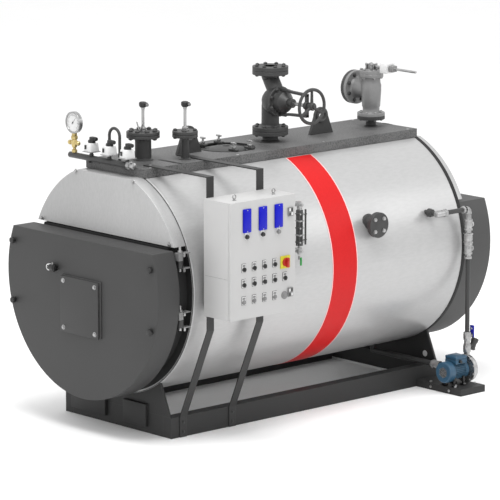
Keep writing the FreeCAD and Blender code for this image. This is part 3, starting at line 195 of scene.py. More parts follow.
nodeLooks = {
    "skid_beam_left": framePaint, "skid_beam_right": framePaint, "skid_cross_beams": framePaint,
    "drip_tray": traySheetPaintedLight, "saddle_front": framePaint, "saddle_rear": framePaint,
    "pump_platform": framePaint,
    # the tube plates and furnace take the painted-shade black of the boiler's dark inside
    "lagging_drum": cladding, "front_tube_plate": paintedShadeBlack, "furnace_tube": paintedShadeBlack,
    "rear_tube_plate": paintedShadeBlack, "front_upper_panel": endSheet, "rear_upper_panel": endSheet,
    "rear_smoke_box": boxPaint, "flue_collar": boxPaint, "front_door": doorPaint,
    "burner_cover_plate": doorPaint, "door_clamp_knobs": blackPlastic, "sight_glass": zinc,
    "door_hinge_brackets": darkSteel, "door_hinge_knuckles": greyIron, "top_deck": deckPaint,
    "manway_cover": boxPaint, "manway_clamps": darkSteel, "lifting_lug_front": darkSteel,
    "lifting_lug_rear": darkSteel, "level_tower_one": darkSteel, "level_tower_two": darkSteel,
    "level_probe_one": darkSteel, "level_probe_two": darkSteel, "gauge_header": darkSteel,
    "gauge_cock": brass, "pressure_gauge": zinc, "pressure_switches": whitePlastic,
    "steam_nozzle": castIron, "steam_valve_body": castIron, "steam_valve_yoke": castIron,
    "steam_valve_handwheel": castIron, "outlet_companion_flanges": castIron, "safety_nozzle": castIron,
    "safety_valve_body": greyIron, "safety_valve_lever": zinc, "cabinet_box": cabinetPaint,
    "cabinet_door": cabinetPaint, "cabinet_displays": displayBlue, "cabinet_buttons": whitePlastic,
    "main_switch_handle": switchRed, "cabinet_strap_front": strapPaint, "cabinet_strap_rear": strapPaint,
    "level_gauge_cocks": zinc, "level_gauge_body": darkSteel, "side_inspection_flange": darkSteel,
    "feed_pipes": darkSteel, "feed_check_valves": zinc, "feed_ball_valve": zinc, "feed_strainer": darkSteel,
    "feed_valve_lever": leverBlue, "pump_motor": pumpBlue, "pump_casing": stainless, "drain_pipe": darkSteel,
}
for nodeName, look in nodeLooks.items():
    mesh = frame["nodes"][nodeName].data
    mesh.materials.clear()
    mesh.materials.append(look)
print("materials done")


def only(obj):
    bpy.ops.object.select_all(action="DESELECT")
    obj.select_set(True)
    bpy.context.view_layer.objects.active = obj
    return obj


def settle(obj, material, soft=0.0, steps=2):
    # puts the place into the mesh and rounds the sharp edges
    only(obj)
    bpy.ops.object.transform_apply(location=True, rotation=True, scale=True)
    if soft:
        edge = obj.modifiers.new("edge", "BEVEL")
        edge.width = soft
        edge.segments = steps
        edge.angle_limit = math.radians(35)
        bpy.ops.object.modifier_apply(modifier=edge.name)
    obj.data.materials.clear()
    obj.data.materials.append(material)
    return obj


turns = {"X": (0, math.pi / 2, 0), "Y": (-math.pi / 2, 0, 0), "Z": (0, 0, 0)}
ways = {"X": Vector((1, 0, 0)), "Y": Vector((0, 1, 0)), "Z": Vector((0, 0, 1))}


def rod(start, axis, radius, length, material, soft=0.0008, sides=40):
    middle = Vector(start) + ways[axis] * length / 2
    bpy.ops.mesh.primitive_cylinder_add(vertices=sides, radius=radius, depth=abs(length), location=middle,
                                        rotation=turns[axis])
    return settle(bpy.context.object, material, soft)


def brick(low, high, material, soft=0.0012):
    low = Vector(low)
    high = Vector(high)
    bpy.ops.mesh.primitive_cube_add(size=1, location=(low + high) / 2)
    cube = bpy.context.object
    cube.scale = high - low
    return settle(cube, material, soft)


def turned(start, axis, profile, material, steps=48):
    # spins a profile of (distance along the axis, radius) about the axis
    mesh = bpy.data.meshes.new("turned")
    points = [(radius, 0, along) for along, radius in profile]
    mesh.from_pydata(points, [(i, i + 1) for i in range(len(points) - 1)], [])
    obj = bpy.data.objects.new("turned", mesh)
    bpy.context.scene.collection.objects.link(obj)
    only(obj)
    bpy.ops.object.mode_set(mode="EDIT")
    bpy.ops.mesh.select_all(action="SELECT")
    bpy.ops.mesh.spin(steps=steps, angle=2 * math.pi, center=(0, 0, 0), axis=(0, 0, 1))
    bpy.ops.mesh.select_all(action="SELECT")
    bpy.ops.mesh.remove_doubles(threshold=0.00001)
    bpy.ops.mesh.normals_make_consistent(inside=False)
    bpy.ops.object.mode_set(mode="OBJECT")
    obj.rotation_euler = turns[axis]
    obj.location = start
    return settle(obj, material)


def hexNut(centre, axis, width, height, material):
    middle = Vector(centre) + ways[axis] * height / 2
    bpy.ops.mesh.primitive_cylinder_add(vertices=6, radius=width / 1.73, depth=abs(height), location=middle,
                                        rotation=turns[axis])
    return settle(bpy.context.object, material, width * 0.06)


def bolt(centre, axis, width, height, material, shank=1.5):
    # nut with its stud end standing out of it
    nut = hexNut(centre, axis, width, height, material)
    stud = rod(centre, axis, width * 0.28, height * shank, material, width * 0.05, 16)
    return merge([nut, stud])


def merge(parts):
    only(parts[0])
    for part in parts[1:]:
        part.select_set(True)
    if len(parts) > 1:
        bpy.ops.object.join()
    return bpy.context.view_layer.objects.active


def moved(part, matrix):
    copy = part.copy()
    copy.data = part.data.copy()
    copy.data.transform(matrix)
    bpy.context.scene.collection.objects.link(copy)
    return copy


def circle(part, centre, axis, count):
    # the part and its copies, turned about an axis through the centre
    back = Matrix.Translation(Vector(centre))
    parts = [part]
    for number in range(1, count):
        spin = Matrix.Rotation(2 * math.pi * number / count, 4, ways[axis])
        parts.append(moved(part, back @ spin @ back.inverted()))
    return merge(parts)


def row(part, offsets):
    return [part] + [moved(part, Matrix.Translation(Vector(offset))) for offset in offsets]


def piece(name, parts, body="boiler", nodes=(), angle=35):
    obj = merge(parts)
    obj.name = name
    obj.data.name = name
    only(obj)
    bpy.ops.object.shade_smooth_by_angle(angle=math.radians(angle))
    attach(obj, body)
    if nodes:
        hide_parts(*nodes)
    return obj


def bounds(node):
    low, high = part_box(node)
    return Vector(low), Vector(high)


def flat(material, points, thickness, axis):
    # closed outline given in 3D, thickened along the axis
    mesh = bpy.data.meshes.new("flat")
    mesh.from_pydata([tuple(point) for point in points], [], [tuple(range(len(points)))])
    obj = bpy.data.objects.new("flat", mesh)
    bpy.context.scene.collection.objects.link(obj)
    only(obj)
    bpy.ops.object.mode_set(mode="EDIT")
    bpy.ops.mesh.select_all(action="SELECT")
    bpy.ops.mesh.extrude_region_move(TRANSFORM_OT_translate={"value": ways[axis] * thickness})
    bpy.ops.mesh.select_all(action="SELECT")
    bpy.ops.mesh.normals_make_consistent(inside=False)
    bpy.ops.object.mode_set(mode="OBJECT")
    return settle(obj, material, 0.001)


drumLow, drumHigh = bounds("lagging_drum")
drumRadius = (drumHigh.x - drumLow.x) / 2
drumAxis = (drumHigh.z + drumLow.z) / 2
frontEnd = drumLow.y
rearEnd = drumHigh.y
deckLow, deckHigh = bounds("top_deck")
deckTop = deckHigh.z


def onDrum(angle, y, radius):
    turn = math.radians(angle)
    return Vector((radius * math.cos(turn), y, drumAxis + radius * math.sin(turn)))


# drum: edge beads, red band and its pale outline
def drumPatch(y0, y1, lowAngle, highAngle, radius, material, rows=40, lean=0.0):
    # strip wrapped on the drum; lean carries its low end towards the rear
    points = []
    for number in range(rows + 1):
        angle = highAngle + (lowAngle - highAngle) * number / rows
        drift = lean * max(0.0, (number / rows - 0.75) / 0.25) ** 2
        points += [onDrum(angle, y0 + drift, radius), onDrum(angle, y1 + drift, radius)]
    faces = [(2 * i, 2 * i + 1, 2 * i + 3, 2 * i + 2) for i in range(rows)]
    mesh = bpy.data.meshes.new("patch")
    mesh.from_pydata([tuple(point) for point in points], [], faces)
    obj = bpy.data.objects.new("patch", mesh)
    bpy.context.scene.collection.objects.link(obj)
    settle(obj, material)
    skin = obj.modifiers.new("skin", "SOLIDIFY")
    skin.thickness = 0.0006
    skin.offset = 0
    bpy.ops.object.modifier_apply(modifier=skin.name)
    return obj


band = {"front": 0.004, "rear": 0.188, "high": 66.5, "low": -84, "lean": 0.0}
piece("redBand",
      [drumPatch(band["front"], band["rear"], band["low"], band["high"], drumRadius + 0.0016, bandRed,
                            lean=band["lean"])])
piece("bandOutline", [drumPatch(band["front"] - 0.007, band["rear"] + 0.007, band["low"], band["high"],
                                drumRadius + 0.0009, bandPale, lean=band["lean"])])
bead = turned((0, frontEnd + 0.004, drumAxis), "Y", [(0, drumRadius), (0.001, drumRadius + 0.0025),
              (0.007, drumRadius + 0.0025), (0.008, drumRadius)], cladding, 96)
piece("drumBead", [bead])
print("drum done")

# front door: cut disc with a rolled edge, knobs and burner plate
doorLow, doorHigh = bounds("front_door")
doorRadius = (doorHigh.x - doorLow.x) / 2


def cutDisc(y0, y1, radius, top, material, soft, bottom=None):
    disc = rod((0, y0, drumAxis), "Y", radius, y1 - y0, material, 0, 160)
    only(disc)
    bpy.ops.object.mode_set(mode="EDIT")
    bpy.ops.mesh.select_all(action="SELECT")
    bpy.ops.mesh.bisect(plane_co=(0, 0, top), plane_no=(0, 0, 1), use_fill=True, clear_outer=True)
    if bottom is not None:
        bpy.ops.mesh.select_all(action="SELECT")
        bpy.ops.mesh.bisect(plane_co=(0, 0, bottom), plane_no=(0, 0, 1), use_fill=True, clear_inner=True)
    bpy.ops.object.mode_set(mode="OBJECT")
    return settle(disc, material, soft, 3)


doorParts = [cutDisc(doorLow.y, doorHigh.y - 0.012, doorRadius, doorHigh.z, doorPaint, 0.004)]
# inset black disc at the door's back: painted shade of the gap behind the door
doorParts.append(cutDisc(doorHigh.y - 0.0125, doorHigh.y, doorRadius - 0.012, doorHigh.z - 0.008, paintedShadeBlack,
                         0.002))
piece("frontDoor", doorParts, "front_door", ["front_door"])

plateLow, plateHigh = bounds("burner_cover_plate")
burner = {"boltIn": 0.028, "boltUp": 0.026}
plateParts = [
    brick((plateLow.x, plateLow.y, plateLow.z), (plateHigh.x, plateLow.y + 0.010, plateHigh.z), doorPaint,
          0.002),
    # black slab between the two plates: painted shade of the gap
    brick((plateLow.x + 0.006, plateLow.y + 0.0095, plateLow.z + 0.006),
          (plateHigh.x - 0.006, plateLow.y + 0.014, plateHigh.z - 0.006), paintedShadeBlack, 0.001),
    brick((plateLow.x + 0.004, plateLow.y + 0.0135, plateLow.z + 0.004),
          (plateHigh.x + 0.010, plateHigh.y, plateHigh.z + 0.006), doorPaint, 0.002),
]
for x in (plateLow.x + burner["boltIn"], plateHigh.x - burner["boltIn"]):
    for z in (plateLow.z + burner["boltUp"], plateHigh.z - burner["boltUp"]):
        plateParts.append(turned((x, plateLow.y + 0.001, z), "Y", [(0, 0.0), (-0.002, 0.013), (0, 0.015),
                                 (0.0015, 0.015)], zinc, 24))
        plateParts.append(hexNut((x, plateLow.y - 0.007, z), "Y", 0.018, 0.007, zinc))
piece("burnerPlate", plateParts, "front_door", ["burner_cover_plate"])

knobLow, knobHigh = bounds("door_clamp_knobs")
knobParts = []
knobRadius = 0.018
for x in (knobLow.x + knobRadius, knobHigh.x - knobRadius):
    for z in (knobLow.z + knobRadius, knobHigh.z - knobRadius):
        knobParts.append(turned((x, knobHigh.y, z), "Y", [(0, 0.012), (-0.008, 0.012), (-0.009, 0.018),
                                (-0.016, 0.0185), (-0.024, 0.0165), (-0.025, 0.012), (-0.025, 0)],
                                blackPlastic, 24))
piece("doorKnobs", knobParts, "front_door", ["door_clamp_knobs"])

sightLow, sightHigh = bounds("sight_glass")
sightX = (sightLow.x + sightHigh.x) / 2
sightZ = (sightLow.z + sightHigh.z) / 2
sightParts = [
    turned((sightX, sightLow.y, sightZ), "Y", [(0.016, 0.019), (0.001, 0.019), (0, 0.018), (0, 0.014),
           (0.003, 0.012), (0.006, 0.0)], whitePlastic, 32),
    # black disc inside the sight port: painted shade of the dark furnace behind it
    turned((sightX, sightLow.y + 0.0005, sightZ), "Y", [(0, 0.0115), (0.003, 0.011), (0.004, 0)], paintedShadeBlack,
           32),
    rod((sightX + 0.02, sightHigh.y - 0.020, sightZ + 0.004), "X", 0.017, 0.052, blackPlastic, 0.002),
    rod((sightX + 0.05, sightHigh.y - 0.020, sightZ + 0.004), "X", 0.021, 0.014, blackPlastic, 0.002),
    rod((sightX + 0.045, sightHigh.y - 0.020, sightZ + 0.018), "Z", 0.005, 0.016, zinc, 0.001, 16),
]
piece("sightPort", sightParts, "front_door", ["sight_glass"])

# upper front panel: screws along its edge
panelLow, panelHigh = bounds("front_upper_panel")
panelParts = [cutDisc(panelLow.y, panelHigh.y, drumRadius - 0.004, panelHigh.z, endSheet, 0.003, panelLow.z)]
for x, z in ((-0.245, panelHigh.z - 0.012), (0.245, panelHigh.z - 0.012), (-0.548, panelLow.z + 0.014),
             (0.548, panelLow.z + 0.014)):
    panelParts.append(turned((x, panelLow.y, z), "Y", [(0.001, 0.014), (-0.002, 0.013), (-0.002, 0)], zinc,
                             20))
    panelParts.append(hexNut((x, panelLow.y - 0.010, z), "Y", 0.016, 0.009, zinc))
piece("frontPanel", panelParts, nodes=["front_upper_panel"])

rearLow, rearHigh = bounds("rear_upper_panel")
piece("rearPanel",
      [cutDisc(rearLow.y, rearHigh.y, drumRadius - 0.004, rearHigh.z, endSheet, 0.003, rearLow.z)],
      nodes=["rear_upper_panel"])

# hinges: pin ends, nuts and flat brackets by the tube plate
hingeParts = []
hingeLow, hingeHigh = bounds("door_hinge_knuckles")
hingeX = [joint["pos_m"][0] for joint in frame["record"]["behaviour"]["joints"]
          if joint["name"] == "front_door_hinge"][0]
pinY = frontEnd - 0.068
for z in (hingeHigh.z - 0.043, hingeLow.z):
    hingeParts.append(rod((hingeX, pinY, z - 0.062), "Z", 0.0085, 0.018, zinc, 0.001, 20))
    hingeParts.append(hexNut((hingeX, pinY, z + 0.0435), "Z", 0.024, 0.012, zinc))
    hingeParts.append(rod((hingeX, pinY, z + 0.05), "Z", 0.007, 0.028, zinc, 0.001, 20))
    for rise in (-0.048, 0.036):
        hingeParts.append(brick((0.598, frontEnd - 0.058, z + rise),
                                (0.632, frontEnd - 0.008, z + rise + 0.007),
                                greyIron, 0.002))
        hingeParts.append(brick((0.626, frontEnd - 0.058, z + rise - 0.016),
                                (0.633, frontEnd - 0.044, z + rise + 0.007),
                                zinc, 0.002))
piece("hingePins", hingeParts)
print("front done")

# deck: screws and slots
skirtFront = deckLow.y
deckParts = []
for y in (frontEnd + 0.05, -0.35, 0.32, rearEnd - 0.05):
    for x in (deckLow.x + 0.02, deckHigh.x - 0.02):
        deckParts.append(turned((x, y, deckTop), "Z", [(0, 0.008), (0.002, 0.007), (0.003, 0)], zinc, 16))
# black slots in the deck: painted shade inside the openings
deckParts.append(brick((0.06, -0.80, deckTop - 0.001), (0.20, -0.772, deckTop + 0.0006), paintedShadeBlack, 0.0003))
deckParts.append(brick((0.205, -0.80, deckTop - 0.001), (0.25, -0.772, deckTop + 0.0006), paintedShadeBlack,
                       0.0003))
piece("deckScrews", deckParts)
lip = [brick((deckLow.x + 0.01, skirtFront - 0.0012, deckTop - 0.010),
             (deckHigh.x - 0.01, skirtFront, deckTop - 0.004),
             deckPaint, 0.0005)]
piece("deckLip", lip)

# manway: black gap ring painted as the shade down in the gap, dished cover and its dogs
manLow, manHigh = bounds("manway_clamps")
manX = 0.0
manY = (manLow.y + manHigh.y) / 2
ringParts = [
    turned((manX, manY, deckTop), "Z", [(-0.006, 0.167), (0.002, 0.167), (0.003, 0.163), (0.002, 0.158),
           (-0.006, 0.158)], paintedShadeBlack, 72),
    turned((manX, manY, deckTop - 0.014), "Z",
           [(-0.02, 0.1475), (0.001, 0.1475), (0.004, 0.143), (0.004, 0.118),
           (0.010, 0.110), (0.019, 0.075), (0.0235, 0.035), (0.0245, 0)], boxPaint, 72),
    turned((manX, manY, deckTop + 0.0102), "Z", [(-0.004, 0.020), (0.003, 0.020), (0.005, 0.016), (0.005, 0)],
           darkSteel, 24),
]
piece("manwayCover", ringParts)
dogs = []
dogPlace = {"across": 0.1314, "along": 0.0613}
for x in (-dogPlace["across"], dogPlace["across"]):
    for y in (manY - dogPlace["along"], manY + dogPlace["along"]):
        dogs.append(brick((x - 0.032, y - 0.013, deckTop + 0.0003), (x + 0.032, y + 0.013, deckTop + 0.014),
                          darkSteel, 0.003))
        dogs.append(rod((x, y, deckTop - 0.012), "Z", 0.012, 0.013, darkSteel, 0.001, 20))
        dogs.append(bolt((x, y, deckTop + 0.014), "Z", 0.022, 0.014, zinc, 2.7))
        dogs.append(rod((x - 0.02, y, deckTop + 0.046), "X", 0.0055, 0.04, zinc, 0.001, 16))
piece("manwayDogs", dogs, nodes=["manway_clamps"])
print("deck done")


# flanged joints: two flanges with raised faces, studs through and nuts both sides
def flange(start, axis, radius, thickness, bore, material):
    lip = 0.0015
    return turned(start, axis, [(0.002, bore), (0.002, radius * 0.62), (0, radius * 0.64), (0, radius - lip),
                  (lip, radius), (thickness - lip, radius), (thickness, radius - lip), (thickness, bore)],
                  material, 64)


def studs(centre, axis, pitch, grip, count, width, material, phase=0.5):
    # centre lies on the joint; the nuts stand at grip either side
    middle = Vector(centre)
    side = ways["X"] if axis == "Z" else ways["Z"]
    angle = 2 * math.pi * phase / count
    reach = Matrix.Rotation(angle, 3, ways[axis]) @ (side * pitch)
    over = bolt(middle + reach + ways[axis] * grip, axis, width, width * 0.42, material, 1.3)
    under = bolt(middle + reach - ways[axis] * grip, axis, width, -width * 0.42, material, 1.3)
    return circle(merge([over, under]), middle, axis, count)


# level towers and probes
for number, count in (("one", 8), ("two", 4)):
    towerLow, towerHigh = bounds("level_tower_" + number)
    probeHigh = bounds("level_probe_" + number)[1]
    x = (towerLow.x + towerHigh.x) / 2
    y = (towerLow.y + towerHigh.y) / 2
    radius = (towerHigh.x - towerLow.x) / 2
    joint = towerHigh.z
    neck = 0.046 if number == "one" else 0.023
    collar = deckTop - 0.004
    tower = [
        turned((x, y, 0), "Z",
               [(collar, neck + 0.014), (deckTop + 0.004, neck + 0.012), (deckTop + 0.010, neck + 0.001),
               (joint - 0.030, neck), (joint - 0.020, neck + 0.008), (joint - 0.018, neck + 0.012)],
               darkSteel, 48),
        flange((x, y, joint - 0.018), "Z", radius, 0.0172, 0.010, darkSteel),
        flange((x, y, joint + 0.0006), "Z", radius, 0.0172, 0.010, darkSteel),
        # black ring between the flanges: painted shade of the joint gap
        turned((x, y, joint), "Z", [(-0.002, radius * 0.66), (0.002, radius * 0.66)], paintedShadeBlack, 48),
        studs((x, y, joint), "Z", radius * 0.77, 0.018, count, 0.024 if number == "one" else 0.022,
              darkSteel),
    ]
    piece("levelTower_" + number, tower, nodes=["level_tower_" + number])
    base = joint + 0.018
    head = probeHigh.z - 0.030
    probe = [
        turned((x, y, base), "Z",
               [(0, 0.022), (0.008, 0.022), (0.009, 0.015), (0.024, 0.0145), (0.026, 0.009)],
               zinc, 32),
        hexNut((x, y, base + 0.009), "Z", 0.034, 0.012, zinc),
        turned((x, y, base + 0.02), "Z",
               [(0, 0.0085), (head - base - 0.034, 0.0085), (head - base - 0.033, 0.011),
               (head - base - 0.021, 0.011)], stainless, 32),
        turned((x, y, head), "Z",
               [(-0.002, 0.010), (-0.001, 0.017), (0.006, 0.0195), (0.024, 0.0205), (0.028, 0.018),
               (0.030, 0.012), (0.030, 0)], blackPlastic, 32),
        brick((x - 0.017, y - 0.016, head + 0.004), (x + 0.026, y + 0.016, head + 0.026), blackPlastic,
              0.003),
        rod((x + 0.024, y, head + 0.015), "X", 0.010, 0.014, blackPlastic, 0.002, 20),
        hexNut((x + 0.034, y, head + 0.015), "X", 0.018, 0.007, greyPlastic),
    ]
    if number == "one":
        fork = [(-0.030, 0.052), (-0.022, 0.052), (-0.004, 0.010), (0.004, 0.010), (0.022, 0.052),
                (0.030, 0.052),
                (0.010, 0.0), (-0.010, 0.0)]
        probe.append(flat(zinc, [(x + u, y - 0.026, base + v) for u, v in fork], 0.005, "Y"))
    piece("levelProbe_" + number, probe, nodes=["level_probe_" + number])
print("towers done")

# gauge header with its feet, plug and siphon
headLow, headHigh = bounds("gauge_header")
headerY = skirtFront - 0.017
headerZ = deckTop + 0.010
pipeEnd = headHigh.x - 0.048
header = [
    rod((headLow.x, headerY, headerZ), "X", 0.017, pipeEnd - headLow.x, darkSteel, 0.003, 40),
    hexNut((pipeEnd - 0.006, headerY, headerZ), "X", 0.044, 0.022, zinc),
    rod((pipeEnd + 0.012, headerY, headerZ), "X", 0.0165, 0.020, zinc, 0.002),
    turned((pipeEnd + 0.03, headerY, headerZ), "X",
           [(0, 0.012), (0.002, 0.018), (0.014, 0.0185), (0.018, 0.012),
           (0.018, 0)], stainless, 32),
]
for x in (-0.228, 0.088):
    header.append(brick((x, headerY, headerZ - 0.029), (x + 0.024, skirtFront + 0.001, headerZ - 0.004),
                        darkSteel,
                        0.002))
siphonY = headHigh.y - 0.0085
siphonX = -0.037
siphonTop = deckTop + 0.148


def pipeBend(centre, radius, wire, material, plane, start, sweep, steps=24):
    # part of a ring: a section spun about the bend's centre
    across = {"XZ": ("Y", Vector((1, 0, 0)), Vector((0, 0, 1))),
              "XY": ("Z", Vector((1, 0, 0)), Vector((0, 1, 0))),
              "YZ": ("X", Vector((0, 1, 0)), Vector((0, 0, 1)))}
    axis, u, v = across[plane]
    mesh = bpy.data.meshes.new("bend")
    middle = Vector(centre)
    out = u * math.cos(start) + v * math.sin(start)
    sides = 20
    points = []
    for number in range(sides):
        angle = 2 * math.pi * number / sides
        points.append(middle + out * (radius + wire * math.cos(angle)) + ways[axis] * wire * math.sin(angle))
    edges = [(i, (i + 1) % sides) for i in range(sides)]
    mesh.from_pydata([tuple(point) for point in points], edges, [])
    obj = bpy.data.objects.new("bend", mesh)
    bpy.context.scene.collection.objects.link(obj)
    only(obj)
    bpy.ops.object.mode_set(mode="EDIT")
    bpy.ops.mesh.select_all(action="SELECT")
    bpy.ops.mesh.spin(steps=steps, angle=sweep, center=middle, axis=v.cross(u))
    bpy.ops.mesh.select_all(action="SELECT")
    bpy.ops.mesh.normals_make_consistent(inside=False)
    bpy.ops.object.mode_set(mode="OBJECT")
    return settle(obj, material)


siphon = [pipeBend((siphonX, siphonY, siphonTop), 0.044, 0.0085, darkSteel, "XZ", 0, math.pi)]
for x in (siphonX - 0.044, siphonX + 0.044):
    siphon.append(turned((x, siphonY, deckTop), "Z",
                         [(0, 0.016), (0.006, 0.016), (0.008, 0.0085), (0.148, 0.0085)],
                         darkSteel, 24))
piece("gaugeHeader", header + siphon, nodes=["gauge_header"])

# cock and gauge
gaugeLow, gaugeHigh = bounds("pressure_gauge")
gaugeX = (gaugeLow.x + gaugeHigh.x) / 2
gaugeZ = (gaugeLow.z + gaugeHigh.z) / 2
gaugeR = (gaugeHigh.x - gaugeLow.x) / 2
cockZ = gaugeZ - 0.116
cock = [
    hexNut((gaugeX, headerY, headerZ + 0.0165), "Z", 0.030, 0.016, brass),
    rod((gaugeX, headerY, headerZ + 0.03), "Z", 0.009, 0.03, brass, 0.001, 24),
    turned((gaugeX, headerY, cockZ), "Z",
           [(-0.028, 0.010), (-0.022, 0.015), (-0.010, 0.0175), (0.010, 0.0175),
           (0.020, 0.014), (0.024, 0.010)], brass, 32),
    hexNut((gaugeX, headerY, cockZ + 0.022), "Z", 0.036, 0.018, brass),
    hexNut((gaugeX, headerY, cockZ + 0.041), "Z", 0.028, 0.014, brass),
    rod((gaugeX - 0.040, headerY, cockZ), "X", 0.010, 0.080, brass, 0.002, 24),
    hexNut((gaugeX - 0.044, headerY, cockZ), "X", 0.026, 0.014, brass),
    turned((gaugeX + 0.028, headerY, cockZ), "X",
           [(0, 0.010), (0.001, 0.0125), (0.010, 0.013), (0.016, 0.008),
           (0.016, 0)], brass, 24),
]
piece("gaugeCock", cock, nodes=["gauge_cock"])
dial = [
    turned((gaugeX, gaugeLow.y, gaugeZ), "Y",
           [(0.006, gaugeR - 0.010), (0.001, gaugeR - 0.008), (0, gaugeR - 0.004),
           (0.002, gaugeR), (0.026, gaugeR), (0.032, gaugeR - 0.006), (0.032, 0)], stainless, 64),
    turned((gaugeX, gaugeLow.y, gaugeZ), "Y", [(0.006, gaugeR - 0.009), (0.0055, 0)], dialWhite, 64),
    rod((gaugeX, gaugeLow.y + 0.0045, gaugeZ), "Y", 0.005, 0.0012, blackPlastic, 0.0002, 20),
    hexNut((gaugeX, headerY, gaugeZ - gaugeR - 0.010), "Z", 0.022, 0.012, zinc),
]
for number in range(25):
    angle = math.radians(-45 + 270 * number / 24)
    tall = 0.009 if number % 4 == 0 else 0.005
    mark = brick((gaugeX - 0.0007, gaugeLow.y + 0.0049, gaugeZ + 0.046 - tall),
                 (gaugeX + 0.0007, gaugeLow.y + 0.0056, gaugeZ + 0.046), blackPlastic, 0)
    hub = Matrix.Translation(Vector((gaugeX, 0, gaugeZ)))
    mark.data.transform(hub @ Matrix.Rotation(angle - math.pi / 2, 4, "Y") @ hub.inverted())
    dial.append(mark)
needle = flat(blackPlastic, [(gaugeX - 0.0012, gaugeLow.y + 0.0038, gaugeZ - 0.014),
              (gaugeX + 0.0012, gaugeLow.y + 0.0038, gaugeZ - 0.014), (gaugeX + 0.0005, gaugeLow.y + 0.0038,
              gaugeZ + 0.040), (gaugeX - 0.0005, gaugeLow.y + 0.0038, gaugeZ + 0.040)], 0.0008, "Y")
needle.data.transform(hub @ Matrix.Rotation(math.radians(42), 4, "Y") @ hub.inverted())
dial.append(needle)
piece("gaugeDial", dial, nodes=["pressure_gauge"])

# pressure switches
switchLow, switchHigh = bounds("pressure_switches")
for number in range(3):
    x = switchLow.x + 0.031 + number * 0.154
    low = headerZ + 0.017
    top = switchHigh.z
    case = brick((x - 0.031, headerY - 0.033, top - 0.054), (x + 0.031, headerY + 0.033, top - 0.004),
                 whitePlastic,
                 0.005)
    only(case)
    bpy.ops.object.mode_set(mode="EDIT")
    bpy.ops.mesh.select_all(action="DESELECT")
    bpy.ops.object.mode_set(mode="OBJECT")
    for vert in case.data.vertices:
        vert.select = vert.co.z > top - 0.012
    bpy.ops.object.mode_set(mode="EDIT")
    bpy.ops.transform.resize(value=(0.86, 0.9, 1), center_override=(x, headerY, top))
    bpy.ops.object.mode_set(mode="OBJECT")
    parts = [
        case,
        brick((x - 0.036, headerY - 0.037, top - 0.0565), (x + 0.036, headerY + 0.037, top - 0.052), zinc,
              0.001),
        turned((x, headerY, low - 0.001), "Z", [(0, 0.013), (0.006, 0.014), (0.007, 0.0105), (0.018, 0.0105)],
               darkSteel,
               24),
        brick((x - 0.021, headerY - 0.0345, top - 0.040), (x - 0.005, headerY - 0.0325, top - 0.016),
              blackPlastic,
              0.001),
        rod((x + 0.004, headerY, top - 0.006), "Z", 0.021, 0.018, blackPlastic, 0.003, 32),
        brick((x - 0.004, headerY - 0.014, top + 0.010), (x + 0.030, headerY + 0.014, top + 0.030),
              blackPlastic,
              0.004),
        rod((x + 0.026, headerY, top + 0.020), "X", 0.011, 0.020, blackPlastic, 0.002, 24),
        rod((x - 0.022, headerY, top - 0.006), "Z", 0.006, 0.010, greyPlastic, 0.001, 16),
    ]
    piece("pressureSwitch_%d" % (number + 1), parts,
          nodes=["pressure_switches"] if number == 0 else ())
print("header done")

# steam stop valve
steamHigh = bounds("steam_valve_body")[1]
nozzleLow, nozzleHigh = bounds("steam_nozzle")
yokeHigh = bounds("steam_valve_yoke")[1]
wheelLow, wheelHigh = bounds("steam_valve_handwheel")
steamY = (nozzleLow.y + nozzleHigh.y) / 2
steamR = (nozzleHigh.x - nozzleLow.x) / 2
jointZ = nozzleHigh.z
stemZ = (wheelLow.z + wheelHigh.z) / 2
topZ = steamHigh.z
neckParts = [
    turned((0, steamY, 0), "Z",
           [(deckTop - 0.003, 0.062), (deckTop + 0.003, 0.060), (deckTop + 0.010, 0.0455),
           (jointZ - 0.034, 0.0445), (jointZ - 0.024, 0.056)], castIron, 48),
    flange((0, steamY, jointZ - 0.024), "Z", steamR, 0.0234, 0.040, castIron),
]
piece("steamNozzle", neckParts, nodes=["steam_nozzle"])


def limb(start, end, radius, endRadius, material):
    # round limb between two points, its ends rounded over
    run = Vector(end) - Vector(start)
    length = run.length
    profile = [(-radius * 0.9, 0.0), (-radius * 0.75, radius * 0.62), (-radius * 0.4, radius * 0.9),
               (0, radius)]
    profile += [(length, endRadius), (length + endRadius * 0.4, endRadius * 0.9),
                (length + endRadius * 0.75, endRadius * 0.62), (length + endRadius * 0.9, 0.0)]
    obj = turned((0, 0, 0), "Z", profile, material)
    turn = Vector((0, 0, 1)).rotation_difference(run.normalized()).to_matrix().to_4x4()
    obj.data.transform(Matrix.Translation(Vector(start)) @ turn)
    return obj


chamber = (0.034, steamY, stemZ)
body = [
    flange((0, steamY, jointZ + 0.0006), "Z", steamR, 0.0234, 0.040, castIron),
    turned((0, steamY, 0), "Z", [(jointZ + 0.022, 0.062), (jointZ + 0.034, 0.0515), (stemZ - 0.03, 0.0505),
           (stemZ - 0.004, 0.047), (stemZ + 0.014, 0.036), (stemZ + 0.026, 0.018), (stemZ + 0.029, 0)],
           castIron, 48),
    turned(chamber, "X", [(-0.074, 0.0), (-0.070, 0.024), (-0.056, 0.048), (-0.034, 0.066), (-0.008, 0.0765),
           (0.014, 0.0785), (0.016, 0.086), (0.018, 0.088), (0.0335, 0.088)], castIron, 64),
    limb((0.062, steamY, stemZ + 0.030), (0.004, steamY, topZ - 0.050), 0.047, 0.047, castIron),
    turned((0, steamY, 0), "Z", [(topZ - 0.060, 0.044), (topZ - 0.046, 0.0495), (topZ - 0.034, 0.052),
           (topZ - 0.024, 0.062)], castIron, 48),
    flange((0, steamY, topZ - 0.024), "Z", steamR, 0.0234, 0.040, castIron),
]
piece("steamBody", body, nodes=["steam_valve_body"])
face = 0.068
